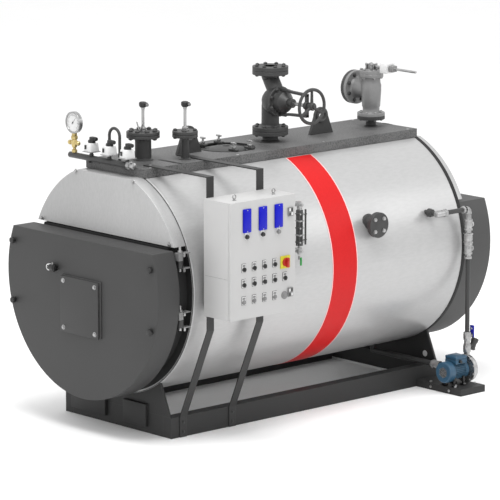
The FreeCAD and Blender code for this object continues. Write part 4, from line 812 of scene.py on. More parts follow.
yoke = [
    turned((face, steamY, stemZ), "X",
           [(0.0005, 0.0), (0.0005, 0.088), (0.016, 0.088), (0.018, 0.086), (0.018, 0.064),
           (0.024, 0.062), (0.060, 0.061), (0.064, 0.058), (0.084, 0.036), (0.096, 0.030), (0.098, 0.022),
           (0.114, 0.021), (0.115, 0.026), (0.124, 0.026), (0.126, 0.022), (0.126, 0.0)], castIron, 64),
]
armIn = 0.086
armEnd = yokeHigh.x
for side in (-1, 1):
    outline = [(armIn, 0.080), (armIn + 0.020, 0.082), (armIn + 0.090, 0.073), (armEnd, 0.068),
               (armEnd, 0.052),
               (armIn + 0.090, 0.058), (armIn + 0.020, 0.066), (armIn, 0.062)]
    yoke.append(flat(castIron, [(u, steamY - 0.011, stemZ + side * v) for u, v in outline], 0.022, "Y"))
    yoke.append(brick((armIn, steamY - 0.004, stemZ + side * 0.07 - 0.014), (armIn + 0.05, steamY + 0.004,
                      stemZ + side * 0.07 + 0.014), castIron, 0.003))
yoke.append(brick((armEnd - 0.015, steamY - 0.012, stemZ - 0.067), (armEnd, steamY + 0.012, stemZ + 0.067),
                  castIron,
                  0.004))
yoke.append(turned((armEnd - 0.020, steamY, stemZ), "X",
                   [(0, 0.016), (0.001, 0.022), (0.020, 0.023), (0.024, 0.020),
                   (0.024, 0.0106)], castIron, 32))
yoke.append(studs((face + 0.0, steamY, stemZ), "X", 0.076, 0.018, 8, 0.019, castIron))
piece("steamYoke", yoke, nodes=["steam_valve_yoke"])
wheelX = 0.348
wheelR = (wheelHigh.z - wheelLow.z) / 2
wheel = [
    turned((wheelX, steamY, stemZ), "X",
           [(0.002, wheelR - 0.019), (-0.008, wheelR - 0.014), (-0.009, wheelR - 0.006),
           (-0.004, wheelR), (0.004, wheelR), (0.009, wheelR - 0.006), (0.008, wheelR - 0.014),
           (0.002, wheelR - 0.019)], castIron, 72),
    turned((wheelX, steamY, stemZ), "X", [(-0.020, 0.011), (-0.020, 0.020), (-0.014, 0.023), (0.012, 0.023),
           (0.018, 0.019), (0.018, 0.0)], castIron, 32),
    hexNut((wheelX + 0.018, steamY, stemZ), "X", 0.022, 0.010, darkSteel),
    rod((0.19, steamY, stemZ), "X", 0.010, wheelX - 0.19, zinc, 0.001, 24),
]
for number in range(3):
    spoke = limb((wheelX, steamY, stemZ + 0.012), (wheelX, steamY, stemZ + wheelR - 0.012), 0.0095, 0.0075,
                 castIron)
    hubTurn = Matrix.Translation(Vector((wheelX, steamY, stemZ)))
    spoke.data.transform(hubTurn @ Matrix.Rotation(2 * math.pi * number / 3, 4, "X") @ hubTurn.inverted())
    wheel.append(spoke)
piece("steamWheel", wheel, "steam_handwheel", ["steam_valve_handwheel"])

safeLow = bounds("safety_valve_body")[0]
inletLow, inletHigh = bounds("safety_nozzle")
safetyY = (inletLow.y + inletHigh.y) / 2
outletZ = 1.712
outletX = safeLow.x
companions = [
    flange((0, steamY, topZ + 0.0006), "Z", steamR, 0.0234, 0.040, castIron),
    flange((outletX - 0.024, safetyY, outletZ), "X", 0.100, 0.0234, 0.040, castIron),
    studs((0, steamY, topZ), "Z", 0.082, 0.024, 8, 0.020, darkSteel),
    studs((outletX - 0.002, safetyY, outletZ), "X", 0.080, 0.022, 8, 0.021, darkSteel),
    studs((0, steamY, jointZ), "Z", 0.082, 0.024, 8, 0.020, darkSteel),
]
piece("companionFlanges", companions, nodes=["outlet_companion_flanges"])

# safety valve
inletR = (inletHigh.x - inletLow.x) / 2
piece("safetyNozzle", [
    turned((0, safetyY, 0), "Z",
           [(deckTop - 0.003, 0.044), (deckTop + 0.003, 0.042), (deckTop + 0.009, 0.031),
           (jointZ - 0.028, 0.030), (jointZ - 0.020, 0.038)], castIron, 40),
    flange((0, safetyY, jointZ - 0.020), "Z", inletR, 0.0194, 0.026, castIron),
    studs((0, safetyY, jointZ), "Z", 0.064, 0.020, 8, 0.015, zinc),
], nodes=["safety_nozzle"])
capZ = 1.806
safety = [
    flange((0, safetyY, jointZ + 0.0006), "Z", inletR, 0.0194, 0.026, greyIron),
    turned((0, safetyY, 0), "Z", [(jointZ + 0.019, 0.054), (jointZ + 0.026, 0.050), (jointZ + 0.050, 0.050),
           (jointZ + 0.056, 0.054), (outletZ - 0.040, 0.0575), (outletZ - 0.010, 0.0595),
           (outletZ + 0.026, 0.0595),
           (outletZ + 0.040, 0.055), (capZ - 0.020, 0.052), (capZ - 0.020, 0.0705), (capZ - 0.018, 0.0715),
           (capZ - 0.002, 0.0715), (capZ, 0.070), (capZ + 0.0005, 0.070), (capZ + 0.002, 0.0715),
           (capZ + 0.018, 0.0715), (capZ + 0.020, 0.070), (capZ + 0.020, 0.034), (capZ + 0.026, 0.028),
           (capZ + 0.026, 0)], greyIron, 64),
    turned((outletX, safetyY, outletZ), "X", [(0.018, 0.068), (0.030, 0.056), (0.060, 0.052), (0.110, 0.050)],
           greyIron,
           48),
    flange((outletX, safetyY, outletZ), "X", 0.100, 0.020, 0.040, greyIron),
    studs((0, safetyY, capZ), "Z", 0.061, 0.020, 6, 0.017, zinc),
]
for number in range(4):
    angle = math.radians(45 + 90 * number)
    x = 0.030 * math.cos(angle)
    y = safetyY + 0.030 * math.sin(angle)
    safety.append(rod((x, y, capZ + 0.018), "Z", 0.0055, 0.044, zinc, 0.001, 16))
    safety.append(hexNut((x, y, capZ + 0.050), "Z", 0.014, 0.009, zinc))
for side in (-1, 1):
    y = safetyY + side * 0.0108
    safety.append(brick((-0.031, y - 0.0045, capZ + 0.018), (0.031, y + 0.0045, capZ + 0.058), greyIron,
                        0.003))
piece("safetyBody", safety, nodes=["safety_valve_body"])
leverLow, leverHigh = bounds("safety_valve_lever")
armZ = capZ + 0.045
weight = [
    brick((leverLow.x, safetyY - 0.005, armZ - 0.007), (0.10, safetyY + 0.005, armZ + 0.007), stainless,
          0.002),
    brick((0.108, safetyY - 0.040, leverLow.z + 0.004), (0.160, safetyY + 0.040, leverHigh.z), whitePlastic,
          0.006),
    brick((0.164, safetyY - 0.022, armZ - 0.018), (0.196, safetyY + 0.022, armZ + 0.018), greyPlastic, 0.004),
    rod((0.10, safetyY, armZ), "X", 0.0075, leverHigh.x - 0.10, stainless, 0.002, 24),
    hexNut((0.180, safetyY, armZ + 0.017), "Z", 0.014, 0.010, zinc),
]
piece("safetyLever", weight, nodes=["safety_valve_lever"])
print("valves done")

# lifting lugs: bossed eyes and weld beads
for name in ("lifting_lug_front", "lifting_lug_rear"):
    lugLow, lugHigh = bounds(name)
    lugY = (lugLow.y + lugHigh.y) / 2
    eye = lugHigh.z - 0.052
    beads = [brick((side * 0.008 - 0.004, lugLow.y + 0.004, deckTop),
                   (side * 0.008 + 0.004, lugHigh.y - 0.004,
             deckTop + 0.006), framePaint, 0.002) for side in (-1, 1)]
    for side in (-1, 1):
        x = side * 0.015
        beads.append(turned((x, lugY, eye), "X",
                            [(-side * 0.002, 0.041), (side * 0.001, 0.0395), (side * 0.002, 0.036),
                            (side * 0.002, 0.028), (-side * 0.001, 0.0262)], darkSteel, 40))
    piece("lugBeads_" + name[-5:].strip("_"), beads)

# control cabinet: folded box with its mounting plate, door with every control
boxLow, boxHigh = bounds("cabinet_box")
cabLow, cabHigh = bounds("cabinet_door")
cabinet = {"wall": 0.014}


def openBox(low, high, wall, material):
    # box open towards +X: the front face is inset and pushed in
    shell = brick(low, high, material, 0)
    only(shell)
    bpy.ops.object.mode_set(mode="EDIT")
    bpy.ops.mesh.select_all(action="DESELECT")
    bpy.ops.object.mode_set(mode="OBJECT")
    for face in shell.data.polygons:
        face.select = face.normal.x > 0.9
    bpy.ops.object.mode_set(mode="EDIT")
    bpy.ops.mesh.select_mode(type="FACE")
    bpy.ops.mesh.inset(thickness=wall, depth=0)
    bpy.ops.mesh.extrude_region_move(TRANSFORM_OT_translate={"value": (wall - (high[0] - low[0]), 0, 0)})
    bpy.ops.object.mode_set(mode="OBJECT")
    return settle(shell, material, 0.002)


wall = cabinet["wall"]
box = [
    openBox(boxLow, boxHigh, wall, cabinetPaint),
    brick((boxLow.x + wall, boxLow.y + 0.04, boxLow.z + 0.04), (boxLow.x + wall + 0.002, boxHigh.y - 0.04,
          boxHigh.z - 0.04), zinc, 0.0005),
    brick((boxLow.x + 0.012, boxLow.y - 0.0005, boxLow.z + 0.228), (boxHigh.x - 0.006, boxLow.y + 0.0005,
          boxLow.z + 0.2295), greyPlastic, 0),
]
for rise in (0.12, 0.25, 0.38, 0.51):
    box.append(brick((boxLow.x + wall + 0.002, boxLow.y + 0.06, boxLow.z + rise), (boxLow.x + wall + 0.010,
                     boxHigh.y - 0.06, boxLow.z + rise + 0.035), zinc, 0.001))
    unit = brick((boxLow.x + wall + 0.010, boxLow.y + 0.07, boxLow.z + rise - 0.02), (boxLow.x + wall + 0.070,
                 boxLow.y + 0.088, boxLow.z + rise + 0.060), whitePlastic, 0.002)
    switchgear = row(unit, [(0, 0.0185 * step, 0) for step in range(1, 16)])
    box += switchgear
for y in (boxLow.y + 0.085, boxHigh.y - 0.105):
    ring = [pipeBend((boxHigh.x - 0.045, y, boxHigh.z + 0.020), 0.011, 0.0034, zinc, "YZ", 0, 2 * math.pi,
                     28),
            turned((boxHigh.x - 0.045, y, boxHigh.z - 0.001), "Z",
                   [(0, 0.011), (0.004, 0.011), (0.005, 0.006),
                   (0.010, 0.005)], zinc, 20)]
    box += ring
piece("cabinetBox", box, nodes=["cabinet_box"])

leaf = [
    openBox((-cabHigh.x, cabLow.y, cabLow.z), (-cabLow.x, cabHigh.y, cabHigh.z), 0.012, cabinetPaint),
]
leaf[0].data.transform(Matrix.Scale(-1, 4, (1, 0, 0)))
only(leaf[0])
bpy.ops.object.mode_set(mode="EDIT")
bpy.ops.mesh.select_all(action="SELECT")
bpy.ops.mesh.normals_make_consistent(inside=False)
bpy.ops.object.mode_set(mode="OBJECT")
piece("cabinetDoor", leaf, "cabinet_door", ["cabinet_door"])

faceX = cabHigh.x
columns = [cabLow.y + 0.096 + 0.076 * number for number in range(5)]


def controlPlate(y, z, knob):
    # square label holder with its operator in the lower half; the black brick behind the white plate is a
    # painted shadow outline round it
    parts = [
        brick((faceX - 0.001, y - 0.0155, z - 0.026), (faceX + 0.0024, y + 0.0155, z + 0.024), blackPlastic,
              0.002),
        brick((faceX + 0.001, y - 0.0135, z - 0.024), (faceX + 0.003, y + 0.0135, z + 0.022), whitePlastic,
              0.0009),
        brick((faceX + 0.0025, y - 0.010, z + 0.006), (faceX + 0.0036, y + 0.010, z + 0.018), greyPlastic,
              0.0005),
        turned((faceX + 0.002, y, z - 0.009), "X",
               [(0, 0.0135), (0.003, 0.0135), (0.004, 0.0115), (0.004, 0.0)],
               greyPlastic, 24),
    ]
    if knob == "lamp":
        parts.append(turned((faceX + 0.004, y, z - 0.009), "X", [(0, 0.0105), (0.006, 0.010), (0.010, 0.006),
                            (0.011, 0)], greyPlastic, 24))
    else:
        parts.append(turned((faceX + 0.005, y, z - 0.009), "X", [(0, 0.0125), (0.006, 0.012), (0.007, 0.011),
                            (0.007, 0)], blackPlastic, 24))
        handle = brick((faceX + 0.006, y - 0.003, z - 0.0195), (faceX + 0.016, y + 0.003, z + 0.0015),
                       blackPlastic,
                       0.001)
        if knob == "turned":
            hub = Matrix.Translation(Vector((0, y, z - 0.009)))
            handle.data.transform(hub @ Matrix.Rotation(math.radians(40), 4, "X") @ hub.inverted())
        parts.append(handle)
    return parts


controls = []
for number in range(4):
    controls += controlPlate(columns[number], cabLow.z + 0.287, "turned" if number == 2 else "switch")
for number in range(5):
    controls += controlPlate(columns[number], cabLow.z + 0.201, "turned" if number == 2 else "switch")
for number in range(4):
    controls += controlPlate(columns[number], cabLow.z + 0.105, "lamp")
controls.append(turned((faceX - 0.001, columns[4] - 0.002, cabLow.z + 0.095), "X",
                       [(0, 0.022), (0.005, 0.022),
                       (0.007, 0.018), (0.008, 0.013), (0.012, 0.012), (0.012, 0)], greyPlastic, 28))
for dy, z in ((0.040, cabLow.z + 0.107), (0.040, cabLow.z + 0.556)):
    y = columns[4] + dy
    controls.append(brick((faceX - 0.001, y - 0.018, z - 0.025), (faceX + 0.008, y + 0.018, z + 0.025),
                          greyPlastic,
                          0.002))
    for u in (-0.008, 0.008):
        for v in (-0.012, 0.012):
            controls.append(brick((faceX + 0.0075, y + u - 0.005, z + v - 0.008),
                                  (faceX + 0.0095, y + u + 0.005,
                            z + v + 0.008), blackPlastic if u * v > 0 else whitePlastic, 0.0008))
piece("cabinetControls", controls, "cabinet_door", ["cabinet_buttons"])
switchLow2, switchHigh2 = bounds("main_switch_handle")
mainY = (switchLow2.y + switchHigh2.y) / 2
mainZ = (switchLow2.z + switchHigh2.z) / 2
piece("mainSwitchPlate", [brick((faceX - 0.001, mainY - 0.035, mainZ - 0.035), (faceX + 0.006, mainY + 0.035,
      mainZ + 0.035), switchYellow, 0.002)], "cabinet_door")
mainKnob = [
    turned((switchLow2.x, mainY, mainZ), "X",
           [(0, 0.0), (0, 0.024), (0.008, 0.0235), (0.010, 0.021), (0.010, 0)],
           switchRed, 40),
    brick((switchLow2.x + 0.008, mainY - 0.008, mainZ - 0.027),
          (switchLow2.x + 0.027, mainY + 0.008, mainZ + 0.027),
          switchRed, 0.004),
]
piece("mainSwitchKnob", mainKnob, "main_switch", ["main_switch_handle"])

showLow, showHigh = bounds("cabinet_displays")
screens = []
for number in range(3):
    y = showLow.y + 0.030 + 0.117 * number
    z = (showLow.z + showHigh.z) / 2
    screens.append(brick((faceX, y - 0.030, z - 0.066), (faceX + 0.010, y + 0.030, z + 0.066), displayBlue,
                         0.005))
    screens.append(brick((faceX + 0.0096, y - 0.026, z - 0.048), (faceX + 0.0112, y + 0.026, z + 0.048),
                         displayBlue,
                         0.0006))
    for v in (-0.059, 0.058):
        screens.append(turned((faceX + 0.0095, y, z + v), "X", [(0, 0.0035), (0.0015, 0.003), (0.0015, 0)],
                              zinc, 12))
    knobZ = cabLow.z + 0.456
    screens.append(brick((faceX - 0.001, y - 0.013, knobZ - 0.015), (faceX + 0.003, y + 0.013, knobZ + 0.030),
                         whitePlastic, 0.002))
    knobLook = greyPlastic if number == 2 else blackPlastic
    screens.append(turned((faceX + 0.002, y, knobZ), "X", [(0, 0.0135), (0.003, 0.0135), (0.004, 0.011),
                          (0.012, 0.0105), (0.013, 0.009), (0.013, 0)], knobLook, 24))
piece("cabinetScreens", screens, "cabinet_door", ["cabinet_displays"])
print("cabinet done")

# level gauge: clamped glass with its cocks and the green drain handle
gLow, gHigh = bounds("level_gauge_body")
cLow, cHigh = bounds("level_gauge_cocks")
glassX = gLow.x + 0.015
glassY = gLow.y + 0.015
upperZ = cHigh.z - 0.020
lowerZ = cLow.z + 0.020
bodyLow = gLow.z + 0.010
bodyHigh = gHigh.z - 0.010
glass = [
    rod((glassX, glassY, lowerZ), "Z", 0.008, upperZ - lowerZ, stainless, 0.001, 24),
    brick((glassX - 0.015, glassY - 0.015, bodyLow), (glassX + 0.015, glassY + 0.015, bodyHigh), boxPaint,
          0.003),
    # black strip on the gauge body: painted shade of its window
    brick((glassX + 0.0145, glassY - 0.005, bodyLow + 0.02),
          (glassX + 0.0165, glassY + 0.005, bodyHigh - 0.02),
          paintedShadeBlack, 0.001),
    brick((glassX - 0.004, gHigh.y - 0.009, gLow.z + 0.012), (glassX + 0.005, gHigh.y, gHigh.z - 0.012),
          darkSteel,
          0.002),
]
for number in range(5):
    z = bodyLow + 0.022 + number * (bodyHigh - bodyLow - 0.044) / 4
    glass.append(brick((glassX - 0.017, glassY - 0.018, z - 0.004),
                       (glassX + 0.018, glassY + 0.018, z + 0.004),
                       zinc if number in (1, 3) else boxPaint, 0.001))
    glass.append(hexNut((glassX + 0.0175, glassY - 0.0115, z), "X", 0.009, 0.005, zinc))
    glass.append(hexNut((glassX + 0.0175, glassY + 0.0115, z), "X", 0.009, 0.005, zinc))
for z in (bodyLow + 0.030, bodyHigh - 0.030):
    glass.append(rod((glassX, glassY + 0.01, z), "Y", 0.004, 0.045, darkSteel, 0.0006, 16))
piece("levelGlass", glass, nodes=["level_gauge_body"])
cocks = []
for z, way in ((upperZ, 1), (lowerZ, -1)):
    cocks += [
        rod((drumRadius * 0.80, glassY, z), "X", 0.0105, glassX - drumRadius * 0.80, zinc, 0.001, 24),
        hexNut((glassX - 0.040, glassY, z), "X", 0.030, 0.014, zinc),
        turned((glassX, glassY, z - way * 0.020), "Z",
               [(0, 0.0125), (way * 0.004, 0.0155), (way * 0.010, 0.0165),
               (way * 0.026, 0.0165), (way * 0.034, 0.011), (way * 0.038, 0.010), (way * 0.038, 0)], zinc,
               32),
        hexNut((glassX, glassY, z - way * 0.030), "Z", 0.028, 0.012, zinc),
        turned((glassX + 0.012, glassY, z), "X",
               [(0, 0.010), (0.006, 0.0105), (0.007, 0.0075), (0.014, 0.0075),
               (0.014, 0)], zinc, 24),
    ]
drainZ = lowerZ - 0.036
cocks.append(rod((glassX, glassY, drainZ - 0.012), "Z", 0.007, 0.022, zinc, 0.001, 20))
cocks.append(brick((glassX + 0.010, glassY - 0.006, drainZ - 0.044),
                   (glassX + 0.017, glassY + 0.006, drainZ + 0.002),
                   gripGreen, 0.002))
cocks.append(rod((glassX, glassY, drainZ - 0.004), "X", 0.0045, 0.014, zinc, 0.0006, 16))
piece("levelCocks", cocks, nodes=["level_gauge_cocks"])

# inspection flange: blank cover on a short neck
sLow, sHigh = bounds("side_inspection_flange")
sideY = (sLow.y + sHigh.y) / 2
sideZ = (sLow.z + sHigh.z) / 2
sideR = (sHigh.y - sLow.y) / 2
side = [
    turned((0, sideY, sideZ), "X", [(sLow.x, 0.054), (sLow.x + 0.012, 0.052), (sLow.x + 0.020, 0.040),
           (sHigh.x - 0.040, 0.040), (sHigh.x - 0.028, 0.046)], darkSteel, 48),
    flange((sHigh.x - 0.028, sideY, sideZ), "X", sideR, 0.0134, 0.020, darkSteel),
    turned((sHigh.x - 0.014, sideY, sideZ), "X", [(0.0, 0.0), (0, sideR - 0.0015), (0.0015, sideR),
           (0.0125, sideR), (0.014, sideR - 0.0015), (0.014, 0.030), (0.0145, 0.028), (0.0145, 0)], darkSteel,
           64),
]
for number in range(4):
    angle = math.radians(45 + 90 * number)
    y = sideY + 0.049 * math.cos(angle)
    z = sideZ + 0.049 * math.sin(angle)
    side.append(turned((sHigh.x, y, z), "X", [(-0.001, 0.0115), (0.0012, 0.0115), (0.0014, 0.008)], zinc, 20))
    side.append(hexNut((sHigh.x, y, z), "X", 0.020, 0.008, zinc))
piece("inspectionFlange", side, nodes=["side_inspection_flange"])

# feed line: nozzle, tee, elbow, check valves, unions and riser
valveLow = bounds("feed_check_valves")[0]
pipeLow = bounds("feed_pipes")[0]
ballLow, ballHigh = bounds("feed_ball_valve")
leverBoxLow, leverBoxHigh = bounds("feed_valve_lever")
feedX = (ballLow.x + ballHigh.x) / 2
feedZ = drumAxis + 0.232
riserY = rearEnd - 0.012
nozzleY = rearEnd - 0.267
feed = [
    rod((pipeLow.x, nozzleY, feedZ), "X", 0.014, feedX - pipeLow.x, darkSteel, 0.001, 28),
    turned((pipeLow.x, nozzleY, feedZ), "X",
           [(0.026, 0.014), (0.027, 0.025), (0.040, 0.025), (0.046, 0.0145)],
           darkSteel, 28),
    hexNut((feedX - 0.062, nozzleY, feedZ), "X", 0.042, 0.020, darkSteel),
    turned((feedX, nozzleY - 0.018, feedZ), "Y",
           [(0, 0.0), (0, 0.012), (0.004, 0.018), (0.020, 0.020), (0.066, 0.020),
           (0.067, 0.0165), (0.070, 0.0165)], zinc, 32),
    hexNut((feedX, nozzleY + 0.050, feedZ), "Y", 0.042, 0.020, zinc),
    rod((feedX, nozzleY, feedZ), "Y", 0.0135, riserY - nozzleY - 0.010, darkSteel, 0.001, 28),
    rod((feedX, riserY, ballHigh.z - 0.004), "Z", 0.0135, valveLow.z - ballHigh.z + 0.010, darkSteel, 0.001,
        28),
]
piece("feedPipes", feed, nodes=["feed_pipes"])


def fitting(low, radius, length, hexLength=0.014):
    # barrel between two hexagon ends
    return [
        turned((feedX, riserY, low), "Z",
               [(0, radius * 0.8), (length * 0.25, radius), (length * 0.75, radius),
               (length, radius * 0.8)], zinc, 32),
        hexNut((feedX, riserY, low - hexLength * 0.4), "Z", radius * 2.05, hexLength, zinc),
        hexNut((feedX, riserY, low + length - hexLength * 0.6), "Z", radius * 2.05, hexLength, zinc),
    ]


checks = [pipeBend((feedX, riserY - 0.026, feedZ - 0.026), 0.026, 0.0195, zinc, "YZ", 0, math.pi / 2, 12),
          hexNut((feedX, riserY - 0.052, feedZ), "Y", 0.040, 0.016, zinc),
          rod((feedX, riserY, valveLow.z), "Z", 0.0165, feedZ - 0.02 - valveLow.z, zinc, 0.001, 32)]
checks += fitting(feedZ - 0.120, 0.022, 0.056)
checks += fitting(feedZ - 0.198, 0.0255, 0.052, 0.010)
checks += fitting(feedZ - 0.262, 0.022, 0.056)
for drop in (0.120, 0.262):
    z = feedZ - drop + 0.028
    checks.append(turned((feedX, riserY, z), "Y", [(0, 0.014), (0.018, 0.013), (0.019, 0.017), (0.030, 0.017),
                         (0.033, 0.012), (0.033, 0)], zinc, 28))
checks.append(hexNut((feedX, riserY, valveLow.z - 0.002), "Z", 0.040, 0.016, zinc))
piece("feedChecks", checks, nodes=["feed_check_valves"])

ballZ = (leverBoxLow.z + leverBoxHigh.z) / 2 - 0.024
riser = [
    rod((feedX, riserY, ballLow.z), "Z", 0.018, ballHigh.z - ballLow.z, zinc, 0.001, 28),
    turned((feedX, riserY, ballZ), "Z", [(-0.026, 0.014), (-0.020, 0.019), (-0.012, 0.023), (0.012, 0.023),
           (0.020, 0.019), (0.026, 0.014)], zinc, 32),
    hexNut((feedX, riserY, ballZ + 0.012), "Z", 0.040, 0.013, zinc),
    hexNut((feedX, riserY, ballZ - 0.025), "Z", 0.040, 0.013, zinc),
    turned((feedX, riserY, ballZ - 0.100), "Z", [(0, 0.016), (0.004, 0.022), (0.020, 0.0235), (0.044, 0.0235),
           (0.060, 0.018)], zinc, 32),
    turned((feedX, riserY, ballZ), "Y", [(0.016, 0.013), (0.026, 0.012), (0.027, 0.008), (0.038, 0.0075),
           (0.038, 0)], zinc, 28),
]
piece("feedBallValve", riser, nodes=["feed_ball_valve"])
grip = brick((leverBoxLow.x, leverBoxLow.y, leverBoxLow.z), (leverBoxHigh.x, leverBoxHigh.y,
             leverBoxHigh.z), leverBlue, 0.0022)
grips = [grip,
         turned((feedX, leverBoxLow.y - 0.0004, ballZ), "Y",
                [(0, 0.0), (0, 0.011), (0.007, 0.011), (0.008, 0.0)], zinc,
                20),
         turned((feedX, leverBoxLow.y - 0.0004, leverBoxHigh.z - 0.020), "Y",
                [(0, 0.0), (0, 0.006), (0.0068, 0.006),
                (0.007, 0)], whitePlastic, 20)]
piece("feedLever", grips, "feed_lever", ["feed_valve_lever"])
print("feed done")
strainLow, strainHigh = bounds("feed_strainer")
top = Vector((feedX, strainHigh.y - 0.022, strainHigh.z - 0.012))
foot = Vector((feedX, riserY + 0.036, strainLow.z + 0.006))
run = top - foot
basket = [turned((0, 0, 0), "Z",
                 [(0, 0.0), (0, 0.015), (0.004, 0.021), (0.012, 0.022), (0.013, 0.0185), (0.040, 0.018),
                 (0.052, 0.022), (run.length, 0.022), (run.length + 0.002, 0.016), (run.length + 0.002, 0)],
                 darkSteel, 32)]
basket[0].data.transform(Matrix.Translation(foot) @ Vector((0, 0,
                                                            1)).rotation_difference(run).to_matrix().to_4x4())
basket.append(turned((feedX, riserY, ballZ - 0.060), "Y", [(0.018, 0.012), (0.050, 0.012)], darkSteel, 24))
piece("feedStrainer", basket, nodes=["feed_strainer"])

# pump: finned motor, fan cover, terminal box and pressed casing
motorLow, motorHigh = bounds("pump_motor")
casingLow, casingHigh = bounds("pump_casing")
plinthLow, plinthHigh = bounds("pump_platform")
pumpZ = (casingLow.z + casingHigh.z) / 2
pump = {"shell": 0.043, "fin": 0.0515, "finCount": 30}
motor = [
    turned((feedX, motorLow.y, pumpZ), "Y",
           [(0.001, 0.0), (0.001, 0.030), (0, 0.034), (0, 0.056), (0.004, 0.0615),
           (0.046, 0.062), (0.050, 0.060), (0.052, 0.050), (0.056, pump["shell"]), (0.146, pump["shell"]),
           (0.147, 0.046), (0.158, 0.050), (0.166, 0.050), (0.170, 0.042), (0.176, 0.042), (0.176, 0)],
           pumpBlue, 64),
    # black disc behind the fan grille: painted shade inside the fan cover
    turned((feedX, motorLow.y - 0.0006, pumpZ), "Y", [(0, 0.0), (0, 0.029), (0.002, 0.030)], paintedShadeBlack, 40),
]
fin = brick((feedX - 0.0011, motorLow.y + 0.050, pumpZ + 0.038), (feedX + 0.0011, motorLow.y + 0.150,
            pumpZ + pump["fin"]), pumpBlue, 0)
motor.append(circle(fin, (feedX, 0, pumpZ), "Y", pump["finCount"]))
for radius in (0.012, 0.020, 0.027):
    motor.append(turned((feedX, motorLow.y - 0.0015, pumpZ), "Y", [(0, radius - 0.001), (0, radius + 0.001),
                        (0.002, radius + 0.001), (0.002, radius - 0.001), (0, radius - 0.001)], greyPlastic,
                        40))
spoke = brick((feedX - 0.001, motorLow.y - 0.0015, pumpZ),
              (feedX + 0.001, motorLow.y + 0.0005, pumpZ + 0.034),
              greyPlastic, 0)
motor.append(circle(spoke, (feedX, 0, pumpZ), "Y", 6))
boxTop = motorHigh.z
boxY = motorLow.y + 0.062
motor += [
    brick((feedX - 0.046, boxY, pumpZ + 0.044), (feedX + 0.046, boxY + 0.092, boxTop - 0.020), pumpBlue,
          0.003),
    brick((feedX - 0.043, boxY + 0.003, boxTop - 0.0215), (feedX + 0.043, boxY + 0.089, boxTop - 0.0185),
          blackPlastic, 0.001),
    brick((feedX - 0.046, boxY, boxTop - 0.019), (feedX + 0.046, boxY + 0.092, boxTop), pumpBlue, 0.004),
    rod((feedX + 0.040, boxY + 0.030, boxTop - 0.030), "X", 0.010, 0.020, blackPlastic, 0.002, 20),
]
for x in (-0.038, 0.038):
    for y in (0.009, 0.083):
        motor.append(turned((feedX + x, boxY + y, boxTop - 0.0005), "Z",
                            [(0, 0.004), (0.0015, 0.0035), (0.0015, 0)],
                            zinc, 12))
for y in (motorLow.y + 0.056, motorLow.y + 0.128):
    for side in (-1, 1):
        x = feedX + side * 0.040
        motor.append(brick((x - 0.018, y - 0.010, plinthHigh.z), (x + 0.018, y + 0.014, plinthHigh.z + 0.008),
                           blackPlastic, 0.002))
        motor.append(brick((x - 0.006, y - 0.006, plinthHigh.z + 0.006),
                           (x + 0.006, y + 0.010, pumpZ - 0.030),
                           blackPlastic, 0.002))
        motor.append(hexNut((x + side * 0.010, y + 0.002, plinthHigh.z + 0.008), "Z", 0.011, 0.006, zinc))
piece("pumpMotor", motor, nodes=["pump_motor"])
rim = casingHigh.z - pumpZ
casing = [
    turned((feedX, casingLow.y, pumpZ), "Y",
           [(0.0005, 0.0), (0.0005, rim - 0.002), (0.002, rim), (0.006, rim),
           (0.008, rim - 0.002)], stainless, 72),
    turned((feedX, casingLow.y, pumpZ), "Y", [(0.0078, rim - 0.003), (0.0092, rim - 0.003)], whitePlastic,
           72),
    turned((feedX, casingLow.y, pumpZ), "Y", [(0.009, rim - 0.003), (0.010, rim - 0.0055), (0.030, 0.079),
           (0.034, 0.0785), (0.040, 0.072), (0.044, 0.060), (0.044, 0.030), (0.041, 0.026), (0.041, 0.0)],
           stainless,
           72),
]
clampBolt = merge([hexNut((feedX, casingLow.y - 0.004, pumpZ + rim - 0.009), "Y", 0.011, 0.005, zinc),
                   hexNut((feedX, casingLow.y + 0.009, pumpZ + rim - 0.009), "Y", 0.011, 0.005, zinc)])
casing.append(circle(clampBolt, (feedX, 0, pumpZ), "Y", 10))
casing.append(turned((feedX, casingHigh.y - 0.004, pumpZ - 0.050), "Y",
                     [(0, 0.009), (0.003, 0.009), (0.0035, 0.007),
                     (0.0035, 0)], zinc, 20))
piece("pumpCasing", casing, nodes=["pump_casing"])
plinth = []
for x in (0.12, 0.27):
    plinth.append(hexNut((plinthLow.x + x, plinthLow.y - 0.006, plinthLow.z + 0.020), "Y", 0.016, 0.006,
                         zinc))
for x in (0.10, 0.30):
    for y in (0.02, 0.182):
        plinth.append(bolt((plinthLow.x + x, plinthLow.y + y, plinthHigh.z), "Z", 0.016, 0.008, zinc, 1.2))
piece("plinthBolts", plinth)
drainLow, drainHigh = bounds("drain_pipe")
drainY = (drainLow.y + drainHigh.y) / 2
piece("drainCoupling", [
    hexNut((drainHigh.x - 0.066, drainY, 0.150), "X", 0.047, 0.018, zinc),
    turned((drainHigh.x - 0.050, drainY, 0.150), "X",
           [(0, 0.0215), (0.002, 0.0235), (0.030, 0.0235), (0.034, 0.021)],
           zinc, 32),
    hexNut((drainHigh.x - 0.020, drainY, 0.150), "X", 0.046, 0.018, zinc),
])
print("pump done")

# skid: plates on the front beam, tray rim painted as a highlight, strap bolts, white disc painted as the
# light through the saddle hole
skidLow = bounds("skid_cross_beams")[0]
trayLow, trayHigh = bounds("drip_tray")
beamHigh = bounds("skid_beam_right")[1]
pads = [
    brick((-0.388, skidLow.y - 0.020, 0.040), (-0.090, skidLow.y + 0.001, 0.150), framePaint, 0.002),
    brick((0.066, skidLow.y - 0.020, 0.036), (0.260, skidLow.y + 0.001, 0.166), framePaint, 0.002),
]
piece("skidPads", pads)
